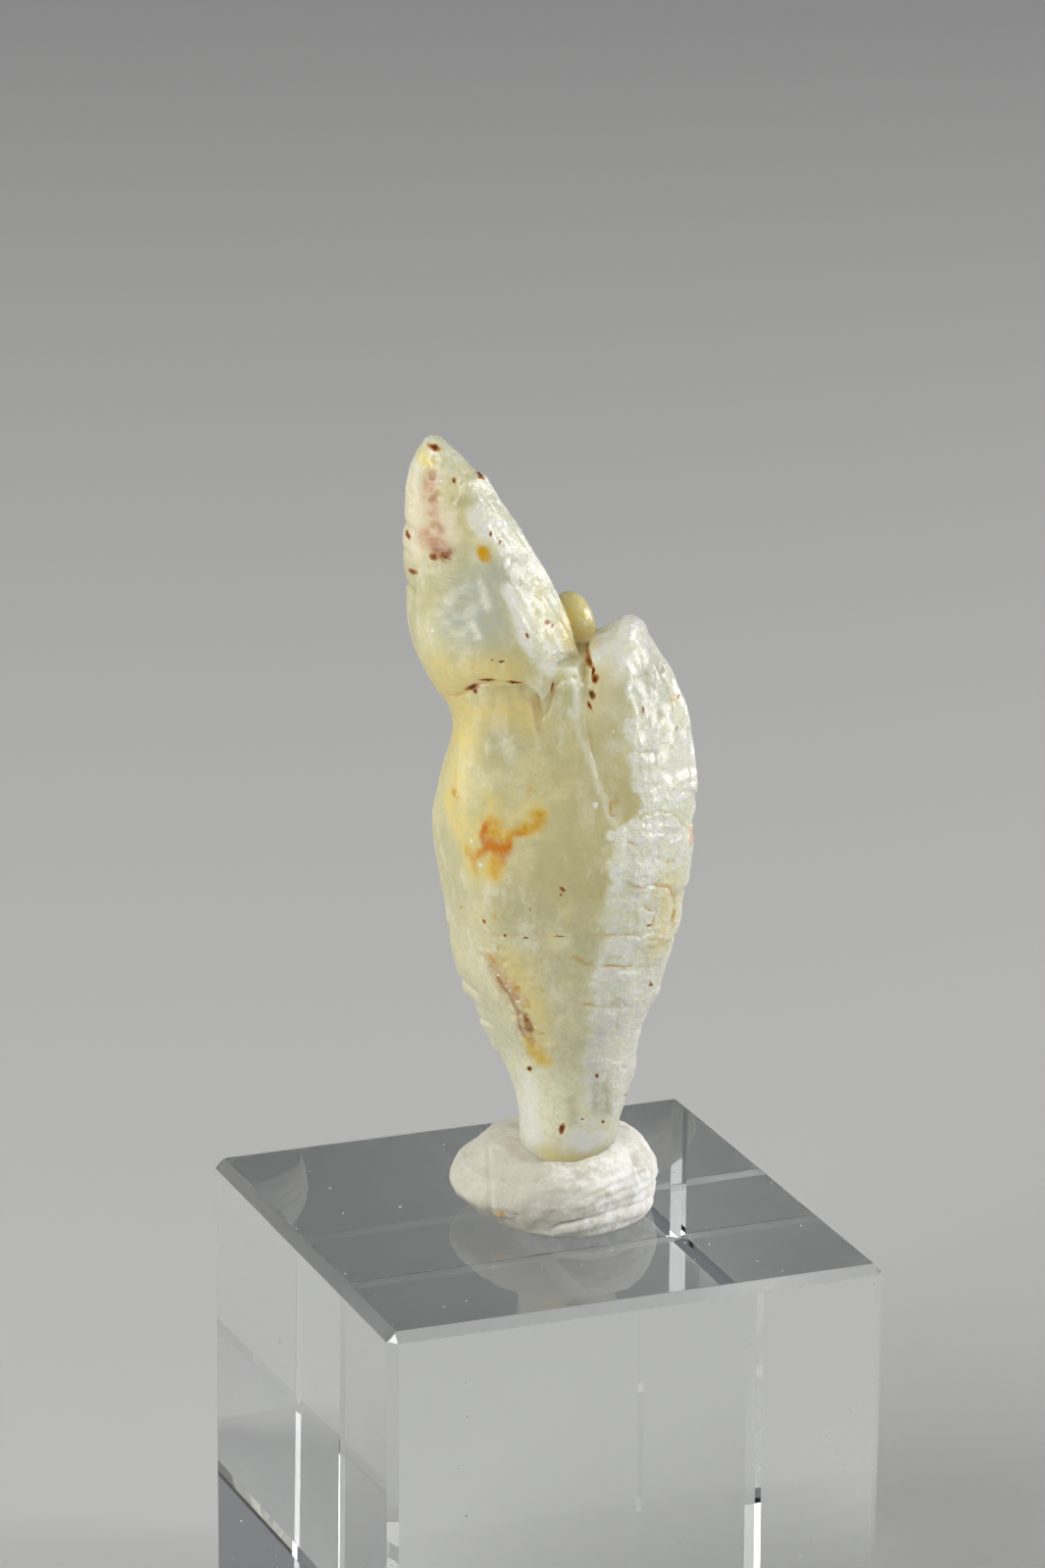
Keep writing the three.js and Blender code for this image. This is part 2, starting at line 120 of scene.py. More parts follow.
@dataclass(frozen=True)
class SpecimenFrame:
    """The specimen's axes: across its broad face, forward out of it, and height above the block."""

    turn: float = 21.7
    block_height: float = BLOCK_SIDE

    def cos_sin(self) -> Place:
        """The cosine and the sine of the turn."""
        return math.cos(math.radians(self.turn)), math.sin(math.radians(self.turn))

    def to_row(self, points: Array) -> Array:
        """Brings points from the specimen's frame to the row frame, in millimetres.

        Args:
            points: Rows of across, forward and height.

        Returns:
            Rows of X, Y and Z.
        """
        cos, sin = self.cos_sin()
        across, forward, height = points.T
        x, y = across * cos - forward * sin, -across * sin - forward * cos
        return np.column_stack((x, y, height + self.block_height))

    def from_row(self, points: Array) -> Array:
        """Brings points from the row frame to the specimen's frame, in millimetres.

        Args:
            points: Rows of X, Y and Z.

        Returns:
            Rows of across, forward and height.
        """
        cos, sin = self.cos_sin()
        x, y, z = points.T
        return np.column_stack((x * cos - y * sin, -x * sin - y * cos, z - self.block_height))

    def turn_normals(self, normals: Array) -> Array:
        """Turns directions from the row frame to the specimen's frame."""
        return self.from_row(normals + np.array((0, 0, self.block_height)))


SPECIMEN = SpecimenFrame()


# ---------------------------------------------------------------- repeatable noise


class Seed(Enum):
    """The seeds of the noise, one for each use of it."""

    GROUND = 3
    PLATES = 5
    TERRACES = 8
    ETCHED = 11
    STROKES = 13
    STREAKS = 21
    PITS = 34
    FURROW = 55
    PUTTY = 71
    PUTTY_PITS = 72
    FINGER_PRINT = 73
    SEAMS = 89


class Grain:
    """Noise that is worked out for many points at once and is the same each time."""

    SIDE = 32
    LAYER_SHIFT = 7.3
    FAR = 9.0

    def __init__(self, seed: Seed) -> None:
        """Fills the lattice that the noise is read from.

        Args:
            seed: What the noise is for.
        """
        source = np.random.default_rng(seed.value)
        self.values = source.random((self.SIDE,) * 3) * 2 - 1
        self.seeds = source.random((self.SIDE,) * 3 + (4,))

    def smooth(self, points: Array, size: float | Point) -> Array:
        """Smooth noise from -1 to 1.

        Args:
            points: Rows of three coordinates.
            size: The size of one cell, or one size for each axis.

        Returns:
            One number for each point.
        """
        place = points / np.array(size)
        cell = np.floor(place).astype(int)
        share = place - cell
        share = share * share * (3 - 2 * share)
        total = np.zeros(len(points))
        for corner in np.ndindex(2, 2, 2):
            weight = np.prod(np.where(corner, share, 1 - share), axis=1)
            total += weight * self.values[tuple(((cell + corner) % self.SIDE).T)]
        return total

    def layered(self, points: Array, size: float, layers: int = 3) -> Array:
        """Adds finer and weaker layers of smooth noise.

        Args:
            points: Rows of three coordinates.
            size: The cell size of the coarsest layer.
            layers: How many layers there are.

        Returns:
            One number for each point, about -1 to 1.
        """
        total = np.zeros(len(points))
        for layer in range(layers):
            total += self.smooth(points + self.LAYER_SHIFT * layer, size / 2**layer) / 2**layer
        return total / (2 - 2 ** (1 - layers))

    def drift(self, points: Array, size: float, shifts: Point, layers: int = 3) -> Array:
        """Three noises for each point, read at three shifts, which make outlines wander."""
        return np.column_stack([self.layered(points + shift, size, layers) for shift in shifts])

    def dots(self, points: Array, size: float | Point, square: bool = False) -> tuple[Array, Array]:
        """Finds the nearest of many scattered seeds.

        Args:
            points: Rows of three coordinates.
            size: The spacing of the seeds, or one spacing for each axis.
            square: Whether the cells are boxes and not balls.

        Returns:
            The distance to the nearest seed, in spacings, and a random number of that seed.
        """
        place = points / np.array(size)
        cell = np.floor(place).astype(int)
        nearest = np.full(len(points), self.FAR)
        mark = np.zeros(len(points))
        for step in np.ndindex(3, 3, 3):
            there = cell + step - 1
            seed = self.seeds[tuple((there % self.SIDE).T)]
            offset = there + seed[:, :3] - place
            away = np.abs(offset).max(axis=1) if square else np.linalg.norm(offset, axis=1)
            closer = away < nearest
            nearest = np.where(closer, away, nearest)
            mark = np.where(closer, seed[:, 3], mark)
        return nearest, mark


# ---------------------------------------------------------------- mesh helpers


def select_only(piece: Piece) -> None:
    """Makes the piece the only selected and active object."""
    bpy.ops.object.select_all(action="DESELECT")
    piece.select_set(True)
    bpy.context.view_layer.objects.active = piece


def scale_mesh(piece: Piece, factor: float) -> None:
    """Scales a piece's mesh and leaves the object unscaled at the origin.

    Args:
        piece: The piece.
        factor: The factor for all three axes.
    """
    select_only(piece)
    piece.scale = (factor,) * 3
    bpy.ops.object.transform_apply(location=False, rotation=False, scale=True)


def copy_in_millimetres(node: Piece, name: str) -> Piece:
    """Copies a CAD node into a piece of its own, in millimetres, with its doubles merged.

    Args:
        node: The CAD node, in metres.
        name: The new piece's name.

    Returns:
        The new piece.
    """
    piece = bpy.data.objects.new(name, node.data.copy())
    piece.data.name = name
    piece.data.materials.clear()
    bpy.context.scene.collection.objects.link(piece)
    scale_mesh(piece, 1 / MM)
    bpy.ops.object.mode_set(mode="EDIT")
    bpy.ops.mesh.select_all(action="SELECT")
    bpy.ops.mesh.remove_doubles(threshold=MERGE_REACH)
    bpy.ops.object.mode_set(mode="OBJECT")
    return piece


def bring_to_metres(piece: Piece) -> None:
    """Scales a finished piece from millimetres to metres and shades it smooth."""
    scale_mesh(piece, MM)
    bpy.ops.object.shade_smooth()


def apply_modifier(piece: Piece, kind: str, **settings: object) -> None:
    """Adds one modifier to a piece and applies it.

    Args:
        piece: The piece to change.
        kind: The modifier's type.
        **settings: The modifier's properties.
    """
    select_only(piece)
    modifier = piece.modifiers.new(kind.lower(), kind)
    for name, value in settings.items():
        setattr(modifier, name, value)
    bpy.ops.object.modifier_apply(modifier=modifier.name)


def refine(piece: Piece, voxel: float, passes: int) -> None:
    """Gives a piece an even mesh with faces the size of a voxel, and eases its corners."""
    apply_modifier(piece, "REMESH", mode="VOXEL", voxel_size=voxel)
    apply_modifier(piece, "SMOOTH", factor=0.5, iterations=passes)


def thin(piece: Piece, most: int) -> None:
    """Drops the faces that add least, until a mesh has no more than a number of triangles.

    Args:
        piece: The piece.
        most: The number of triangles to keep.
    """
    apply_modifier(piece, "TRIANGULATE")
    count = len(piece.data.polygons)
    if count > most:
        apply_modifier(piece, "DECIMATE", decimate_type="COLLAPSE", ratio=most / count)


@dataclass
class Skin:
    """A mesh's vertices: places and normals as rows of across, forward and height, in millimetres."""

    place: Array
    normal: Array

    def __post_init__(self) -> None:
        """Splits the places into their three coordinates."""
        self.across, self.forward, self.height = self.place.T

    def front(self) -> Array:
        """Is 1 on the front of the specimen and 0 on its back."""
        return smooth_step(self.forward, -0.6, 0.1)


def vertices_of(piece: Piece) -> tuple[Array, Array]:
    """Reads a mesh's vertices and normals in the specimen's frame.

    Args:
        piece: The piece, in millimetres in the row frame.

    Returns:
        The places and the normals, each as rows of across, forward and height.
    """
    count = len(piece.data.vertices)
    places = np.zeros(count * 3, np.float32)
    normals = np.zeros(count * 3, np.float32)
    piece.data.vertices.foreach_get("co", places)
    piece.data.vertices.foreach_get("normal", normals)
    place = SPECIMEN.from_row(places.reshape(-1, 3).astype(float))
    normal = SPECIMEN.turn_normals(normals.reshape(-1, 3).astype(float))
    return place, normal


def set_vertices(piece: Piece, places: Array) -> None:
    """Writes places given as rows of across, forward and height back to a mesh."""
    piece.data.vertices.foreach_set("co", SPECIMEN.to_row(places).astype(np.float32).ravel())
    piece.data.update()


def raise_skin(piece: Piece, skin: Skin, relief: Array) -> None:
    """Moves each vertex along its normal by the relief's height there."""
    set_vertices(piece, skin.place + skin.normal * relief[:, None])


def distance_to_line(places: Array, line: Line, reach: float) -> tuple[Array, Array]:
    """Measures, seen from the front, how far points lie from a line of straight stretches.

    Args:
        places: Rows of across, forward and height.
        line: The line's points, as across and height; it may be one point.
        reach: How far from the line is worth measuring.

    Returns:
        The distances, and how far along the line the nearest place is, 0 to 1.
    """
    knots = np.array(line + line[-1:]) if len(line) == 1 else np.array(line)
    lengths = np.linalg.norm(np.diff(knots, axis=0), axis=1)
    whole = max(lengths.sum(), SHORTEST)
    starts = np.concatenate(([0], np.cumsum(lengths))) / whole
    seen = places[:, [0, 2]]
    near = np.all((seen > knots.min(axis=0) - reach) & (seen < knots.max(axis=0) + reach), axis=1)
    some = seen[near]
    best, along = np.full(len(some), 2 * reach), np.zeros(len(some))
    for index, length in enumerate(lengths):
        run = knots[index + 1] - knots[index]
        part = np.clip((some - knots[index]) @ run / max(run @ run, SHORTEST), 0, 1)
        gap = np.linalg.norm(some - knots[index] - part[:, None] * run, axis=1)
        closer = gap < best
        best = np.where(closer, gap, best)
        along = np.where(closer, starts[index] + part * length / whole, along)
    away, share = np.full(len(places), 2 * reach), np.zeros(len(places))
    away[near], share[near] = best, along
    return away, share


def eased_places(piece: Piece, passes: int) -> Array:
    """Works out where a mesh's vertices would lie after smoothing, and leaves the mesh as it is.

    Args:
        piece: The piece, in millimetres.
        passes: How many times each vertex moves to the middle of its neighbours.

    Returns:
        The smoothed places, as rows of across, forward and height.
    """
    eased, _ = vertices_of(piece)
    edges = np.zeros(len(piece.data.edges) * 2, np.int32)
    piece.data.edges.foreach_get("vertices", edges)
    first, second = edges.reshape(-1, 2).T
    ends, others = np.concatenate((first, second)), np.concatenate((second, first))
    count = len(eased)
    neighbours = np.bincount(ends, minlength=count)
    for _ in range(passes):
        sums = [np.bincount(ends, eased[others, axis], count) for axis in range(3)]
        eased = np.column_stack([total / neighbours for total in sums])
    return eased


def store_attribute(piece: Piece, name: str, values: Array) -> None:
    """Stores one number for each vertex, which the piece's material reads."""
    attribute = piece.data.attributes.new(name, "FLOAT", "POINT")
    attribute.data.foreach_set("value", values.astype(np.float32))


# ---------------------------------------------------------------- shader helpers


class NodeGraph:
    """Makes and links the nodes of one material."""

    def __init__(self, name: str) -> None:
        """Starts a material with an empty node tree.

        Args:
            name: The material's name.
        """
        self.material = bpy.data.materials.new(name)
        self.material.use_nodes = True
        self.tree = self.material.node_tree
        self.tree.nodes.clear()

    def node(self, kind: str, inputs: dict | None = None, **settings: object) -> bpy.types.Node:
        """Adds a node.

        Args:
            kind: The node's type, without the words ShaderNode.
            inputs: A value or a socket for each input, by name or number.
            **settings: The node's properties.

        Returns:
            The new node.
        """
        made = self.tree.nodes.new("ShaderNode" + kind)
        for name, value in settings.items():
            setattr(made, name, value)
        for key, value in (inputs or {}).items():
            if isinstance(value, Socket):
                self.tree.links.new(value, made.inputs[key])
            else:
                made.inputs[key].default_value = value
        return made

    def math(self, operation: str, first: object, second: object = 0.0, clamp: bool = False) -> Socket:
        """Adds a Math node and returns its result."""
        inputs = {0: first, 1: second}
        return self.node("Math", inputs, operation=operation, use_clamp=clamp).outputs[0]

    def product(self, *values: object) -> Socket:
        """Multiplies values and sockets."""
        return reduce(lambda first, second: self.math("MULTIPLY", first, second), values)

    def vector(self, operation: str, first: object, second: object) -> Socket:
        """Adds a Vector Math node and returns its vector."""
        return self.node("VectorMath", {0: first, 1: second}, operation=operation).outputs[0]

    def scaled(self, vector: object, factors: Point) -> Socket:
        """Multiplies a vector by one factor for each axis."""
        return self.vector("MULTIPLY", vector, factors)

    def split(self, vector: object) -> bpy.types.NodeOutputs:
        """Splits a vector into its X, Y and Z."""
        return self.node("SeparateXYZ", {0: vector}).outputs

    def distance(self, first: object, second: Point = (0, 0, 0)) -> Socket:
        """How far two places lie apart."""
        return self.node("VectorMath", {0: first, 1: second}, operation="DISTANCE").outputs["Value"]

    def remap(self, value: object, low: float, high: float, out_low: float = 0.0, out_high: float = 1.0,
              curve: str = "SMOOTHSTEP") -> Socket:
        """Maps a value, which goes from low to high, to between out_low and out_high."""
        inputs = {"Value": value, "From Min": low, "From Max": high, "To Min": out_low, "To Max": out_high}
        return self.node("MapRange", inputs, interpolation_type=curve).outputs[0]

    def mix(self, factor: object, first: object, second: object) -> Socket:
        """Mixes two colours; the factor says how much of the second shows."""
        return self.node("Mix", {0: factor, 6: first, 7: second}, data_type="RGBA").outputs[2]

    def noise(self, place: object, scale: float, detail: float = 2.0, roughness: float = 0.5) -> Socket:
        """Adds a noise texture and returns its value; the scale is in cells to a millimetre."""
        inputs = {"Vector": place, "Scale": scale, "Detail": detail, "Roughness": roughness}
        return self.node("TexNoise", inputs).outputs["Fac"]

    def noise_vector(self, place: object, scale: float, roughness: float = 0.5) -> Socket:
        """Adds a noise texture and returns its three values, each 0 to 1."""
        inputs = {"Vector": place, "Scale": scale, "Detail": 2.0, "Roughness": roughness}
        return self.node("TexNoise", inputs).outputs["Color"]

    def cells(self, place: object, scale: float) -> bpy.types.NodeOutputs:
        """Adds a Voronoi texture and returns its outputs."""
        return self.node("TexVoronoi", {"Vector": place, "Scale": scale}).outputs

    def attribute(self, name: str) -> Socket:
        """Reads one of the piece's own attributes."""
        return self.node("Attribute", attribute_name=name).outputs["Fac"]

    def object_place(self) -> Socket:
        """Object coordinates, in metres in the row frame."""
        return self.node("TexCoord").outputs["Object"]

    def specimen_place(self) -> Socket:
        """Brings object coordinates to millimetres along the specimen's axes, with forward along -Y.

        Returns:
            The place's socket.
        """
        inputs = {
            "Vector": self.object_place(),
            "Location": (0, 0, -SPECIMEN.block_height),
            "Rotation": (0, 0, math.radians(SPECIMEN.turn)),
            "Scale": (1 / MM,) * 3,
        }
        return self.node("Mapping", inputs, vector_type="POINT").outputs[0]

    def bump(self, height: object, depth: float) -> Socket:
        """Adds a Bump node; a height of 1 stands for the depth, in metres."""
        return self.node("Bump", {"Height": height, "Distance": depth, "Strength": 1.0}).outputs[0]

    def finish(self, inputs: dict[str, object], volume: Socket | None = None,
               **settings: object) -> bpy.types.Material:
        """Adds the Principled shader and links the shaders to the output.

        Args:
            inputs: A value or a socket for each of the shader's inputs.
            volume: The volume shader, if there is one.
            **settings: The shader's properties.

        Returns:
            The finished material.
        """
        surface = self.node("BsdfPrincipled", inputs, **settings).outputs[0]
        output = self.node("OutputMaterial", {"Surface": surface})
        if volume is not None:
            self.tree.links.new(volume, output.inputs["Volume"])
        return self.material


# ---------------------------------------------------------------- stains


class Tint(Enum):
    """Colours that iron, clay and clouds give the crystal, in the order laid on; MILK also whitens painted
    glints.
    """

    CREAM = srgb(242, 232, 204)
    OLIVE = srgb(212, 200, 140)
    BLUE = srgb(196, 201, 184)
    GREY = srgb(184, 180, 158)
    YELLOW = srgb(246, 224, 136)
    MILK = srgb(252, 250, 238)
    PINK = srgb(204, 152, 112)
    GOLD = srgb(224, 172, 0)
    BROWN = srgb(160, 92, 30)
    ORANGE = srgb(224, 134, 0)


@dataclass(frozen=True)
class Stroke:
    """A soft stroke or spot of colour on the front, whose points are given as across and height."""

    tint: Tint
    points: Line
    half: float
    soft: float = 0.6
    strength: float = 0.8
    through: bool = False


@dataclass(frozen=True)
class Cloud:
    """Soft clouds of one colour on the back, where the noise, read at a shift, is above a level."""

    tint: Tint
    low: float
    strength: float
    shift: float
    size: float = 1.7
    soft: float = 0.7


STROKES: tuple[Stroke, ...] = (
    # the orange patch on the broad face, with its golden arms
    Stroke(Tint.YELLOW, ((-2.0, 17.6), (-2.0, 17.1), (-2.3, 16.6), (-2.9, 16.0),
           (-2.6, 14.7)), 0.4, 0.9, 0.5),
    Stroke(Tint.YELLOW, ((-1.6, 16.5), (-0.9, 17.0), (-0.4, 17.4)), 0.35, 0.9, 0.4),
    Stroke(Tint.YELLOW, ((-3.6, 17.4), (-3.55, 16.7), (-3.25, 16.2), (-3.1, 15.6)), 0.12, 0.9, 0.8),
    Stroke(Tint.YELLOW, ((-2.0, 17.1), (-2.1, 16.7), (-1.7, 16.4)), 0.2, 0.8, 0.9),
    Stroke(Tint.YELLOW, ((-1.6, 16.2), (-1.0, 16.6), (-0.5, 16.75), (-0.3, 17.2)), 0.3, 0.9, 0.8),
    Stroke(Tint.YELLOW, ((-1.95, 15.5), (-1.9, 14.7)), 0.27, 0.9, 0.9),
    Stroke(Tint.GOLD, ((-2.0, 16.8), (-2.0, 16.2), (-1.6, 15.9)), 0.26, 1.0, 0.7),
    Stroke(Tint.GOLD, ((-1.75, 15.95), (-1.35, 16.3), (-1.0, 16.62), (-0.6, 16.72), (-0.3, 16.9),
           (-0.32, 17.15)), 0.19, 1.0, 0.75),
    Stroke(Tint.GOLD, ((-1.98, 15.6), (-1.92, 15.1), (-1.88, 14.7)), 0.15, 1.0, 0.6),
    Stroke(Tint.GOLD, ((-2.55, 15.4), (-2.6, 14.9), (-2.55, 14.6)), 0.09, 1.0, 0.6),
    Stroke(Tint.GOLD, ((-2.3, 15.75), (-2.6, 15.5), (-3.0, 15.6)), 0.11, 1.0, 0.7),
    Stroke(Tint.ORANGE, ((-2.22, 16.7), (-2.3, 16.25), (-2.25, 15.9)), 0.1, 1.0, 1.0),
    Stroke(Tint.ORANGE, ((-2.1, 15.98), (-1.92, 15.82), (-1.65, 15.72), (-1.48, 15.88)), 0.17, 1.0, 1.15),
    Stroke(Tint.ORANGE, ((-1.62, 15.66), (-1.72, 15.3)), 0.13, 1.0, 0.85),
    Stroke(Tint.ORANGE, ((-1.45, 16.1), (-1.15, 16.4), (-0.8, 16.5)), 0.06, 1.0, 0.7),
    Stroke(Tint.ORANGE, ((-2.3, 15.75), (-2.6, 15.45)), 0.08, 1.0, 0.65),
    Stroke(Tint.BROWN, ((-2.25, 16.6), (-2.34, 16.2), (-2.3, 15.8)), 0.05, 0.9, 0.6),
    # yellow washes down the left-hand side and round the neck
    Stroke(Tint.YELLOW, ((-3.35, 18.6), (-3.4, 17.5), (-3.1, 16.4)), 0.4, 0.9, 0.6),
    Stroke(Tint.GOLD, ((-3.35, 17.6),), 0.13, 0.6, 0.8),
    Stroke(Tint.YELLOW, ((-3.9, 21.4), (-3.3, 20.6), (-3.4, 19.8)), 0.8, 0.9, 0.75),
    # painted shade: a dim olive cast over the middle of the broad face
    Stroke(Tint.OLIVE, ((0.9, 19.0), (1.2, 16.8), (0.6, 15.0)), 1.3, 0.9, 0.3),
    # small golden marks on the broad face
    Stroke(Tint.GOLD, ((-0.58, 18.11),), 0.12, 0.6, 0.6),
    Stroke(Tint.GOLD, ((-1.86, 12.95),), 0.09, 0.6, 0.6),
    Stroke(Tint.GOLD, ((1.02, 11.44), (1.3, 11.35)), 0.07, 0.6, 0.5),
    Stroke(Tint.GOLD, ((1.65, 14.11),), 0.08, 0.6, 0.6),
    Stroke(Tint.GOLD, ((2.13, 14.07),), 0.09, 0.6, 0.6),
    Stroke(Tint.GOLD, ((-0.1, 10.1),), 0.08, 0.6, 0.5),
    Stroke(Tint.YELLOW, ((-4.1, 22.4), (-3.0, 22.3), (-1.5, 22.6)), 0.6, 0.9, 0.45),
    Stroke(Tint.YELLOW, ((-2.6, 20.9), (-1.2, 21.2), (-0.7, 20.9)), 0.6, 0.9, 0.5),
    Stroke(Tint.PINK, ((-0.9, 21.9), (-0.45, 21.2), (-0.25, 20.4)), 0.12, 0.8, 0.35),
    # the cap crystal's clouds, and a painted highlight on its right-hand face
    Stroke(Tint.YELLOW, ((-4.4, 30.0),), 0.35, 0.9, 0.7),
    Stroke(Tint.PINK, ((-4.3, 29.4), (-4.4, 28.7), (-4.3, 28.1), (-4.1, 27.5)), 0.26, 0.8, 0.55),
    Stroke(Tint.PINK, ((-4.5, 27.2), (-4.0, 27.0)), 0.36, 0.8, 0.7),
    Stroke(Tint.CREAM, ((-5.0, 28.8), (-5.0, 26.8)), 0.5, 0.9, 0.8),
    Stroke(Tint.CREAM, ((-3.95, 28.0), (-3.6, 27.4)), 0.35, 0.9, 0.8),
    Stroke(Tint.BROWN, ((-4.15, 26.75), (-3.75, 26.6), (-3.6, 26.75)), 0.16, 0.7, 0.85),
    Stroke(Tint.GOLD, ((-2.38, 26.9), (-2.34, 26.68)), 0.24, 0.3, 0.9),
    Stroke(Tint.BLUE, ((-1.8, 25.8), (-2.7, 25.3), (-2.1, 24.5), (-3.4, 24.4)), 0.75, 0.9, 0.8),
    Stroke(Tint.MILK, ((-2.35, 25.7), (-2.2, 25.0)), 0.12, 0.9, 0.6),
    Stroke(Tint.MILK, ((-2.7, 24.2), (-2.45, 23.9)), 0.1, 0.9, 0.6),
    # painted highlight: a white glint patch on the cap's right-hand face
    Stroke(Tint.MILK, ((-2.6, 28.2), (-2.3, 27.6)), 0.26, 0.9, 1.0),
    Stroke(Tint.MILK, ((-1.5, 25.5), (-1.1, 24.5), (-0.75, 23.5)), 0.2, 0.7, 0.9),
    Stroke(Tint.YELLOW, ((-0.4, 25.2), (0.0, 24.3), (0.2, 23.6)), 0.3, 0.9, 0.25),
    Stroke(Tint.MILK, ((-0.15, 22.75), (0.2, 22.6)), 0.2, 0.8, 0.7),
    # the small crystal in the saddle, and the bands beside the shoulder crystal
    Stroke(Tint.YELLOW, ((1.2, 24.2), (1.25, 23.6)), 0.75, 0.3, 0.6, through=True),
    Stroke(Tint.CREAM, ((1.2, 24.2), (1.25, 23.6)), 0.75, 0.3, 0.6, through=True),
    Stroke(Tint.MILK, ((0.9, 22.3), (1.15, 21.6), (1.2, 20.9)), 0.1, 0.9, 0.45),
    Stroke(Tint.MILK, ((0.9, 21.1), (1.3, 20.2), (1.5, 19.5), (1.8, 18.6), (2.0, 18.0),
           (2.7, 16.6)), 0.11, 0.9, 0.35),
    Stroke(Tint.MILK, ((2.0, 22.9), (2.4, 23.0), (2.7, 22.3)), 0.35, 0.9, 0.45),
    Stroke(Tint.CREAM, ((2.2, 22.2), (2.3, 21.0)), 0.5, 0.9, 0.3),
    Stroke(Tint.OLIVE, ((2.3, 19.6), (2.6, 18.4), (2.9, 17.4)), 0.5, 0.9, 0.45),
    Stroke(Tint.MILK, ((2.4, 19.7), (2.8, 19.6)), 0.2, 0.9, 0.4),
    Stroke(Tint.GREY, ((3.9, 22.0), (4.1, 21.4), (4.2, 20.8)), 0.5, 0.9, 0.5),
    Stroke(Tint.BLUE, ((3.75, 19.1), (3.85, 18.7)), 0.25, 0.4, 0.25),
    Stroke(Tint.GOLD, ((4.75, 20.75),), 0.12, 0.8, 0.5),
    Stroke(Tint.YELLOW, ((4.7, 14.2), (4.7, 12.6), (4.3, 11.4)), 0.5, 0.9, 0.35),
    Stroke(Tint.ORANGE, ((5.65, 15.6), (5.7, 15.1)), 0.16, 0.8, 0.4),
    # the furrow low on the broad face
    Stroke(Tint.YELLOW, ((-1.3, 11.2), (-0.5, 9.6), (-0.1, 7.8)), 0.55, 0.9, 0.45),
    Stroke(Tint.PINK, ((-1.95, 11.2), (-1.7, 10.5), (-1.45, 10.1), (-1.1, 9.6)), 0.3, 0.9, 0.45),
    Stroke(Tint.CREAM, ((-1.35, 10.6), (-1.1, 10.0), (-0.8, 9.5)), 0.16, 0.9, 0.8),
    Stroke(Tint.GOLD, ((-2.08, 11.4), (-1.95, 11.2)), 0.11, 0.7, 0.6),
    Stroke(Tint.GOLD, ((-0.96, 10.02),), 0.12, 0.7, 0.8),
    Stroke(Tint.GOLD, ((-0.58, 9.66), (-0.6, 9.4)), 0.07, 0.8, 0.7),
    Stroke(Tint.BROWN, ((-1.7, 10.5), (-1.6, 10.2), (-1.25, 9.5), (-1.0, 8.8),
           (-0.8, 8.0)), 0.07, 0.9, 0.55),
    Stroke(Tint.BROWN, ((-0.8, 8.95), (-0.65, 8.6), (-0.5, 8.3)), 0.13, 0.8, 0.75),
    Stroke(Tint.PINK, ((-0.7, 8.3), (-0.5, 7.8)), 0.17, 0.9, 0.4),
    Stroke(Tint.YELLOW, ((-0.6, 7.8), (-0.3, 7.3), (0.0, 6.95)), 0.3, 0.6, 0.9),
    Stroke(Tint.GOLD, ((-0.45, 7.5), (-0.05, 7.0)), 0.28, 1.0, 0.3),
    # whitish and greyish parts of the right-hand side and the foot
    Stroke(Tint.MILK, ((2.5, 11.9), (3.2, 11.8)), 0.25, 0.7, 0.8),
    Stroke(Tint.MILK, ((2.4, 10.8), (2.85, 10.7)), 0.25, 0.7, 0.8),
    Stroke(Tint.MILK, ((1.9, 7.3), (2.4, 7.5), (3.0, 7.6)), 0.2, 0.9, 0.7),
    Stroke(Tint.GREY, ((1.95, 6.1), (2.05, 4.6)), 0.14, 0.9, 0.35),
    Stroke(Tint.GREY, ((2.35, 5.9), (2.4, 4.6)), 0.2, 0.9, 0.4),
    Stroke(Tint.GREY, ((1.1, 5.3), (1.15, 4.3)), 0.18, 0.9, 0.3),
    Stroke(Tint.MILK, ((1.65, 6.4), (1.75, 4.9)), 0.1, 0.9, 0.7),
    Stroke(Tint.MILK, ((1.35, 3.6), (1.6, 3.35), (2.1, 3.5)), 0.28, 0.9, 1.0),
    Stroke(Tint.MILK, ((-0.6, 6.0), (-0.5, 4.6), (-0.4, 3.6)), 0.3, 0.9, 0.5),
    Stroke(Tint.OLIVE, ((0.1, 3.1), (1.0, 2.85), (2.2, 3.05)), 0.4, 1.0, 0.45),
    Stroke(Tint.YELLOW, ((0.3, 2.9), (1.0, 2.7), (1.9, 2.75)), 0.25, 1.0, 0.5),
)
CLOUDS: tuple[Cloud, ...] = (
    Cloud(Tint.YELLOW, 0.1, 0.5, 40.0),
    Cloud(Tint.CREAM, 0.0, 0.5, 60.0),
    Cloud(Tint.BROWN, 0.4, 0.45, 80.0),
)


@dataclass(frozen=True)
class Speck:
    """A tiny crisp spot on the front: its middle, its half sizes and its lean, in degrees."""

    middle: Place
    half: Place
    lean: float = 0.0


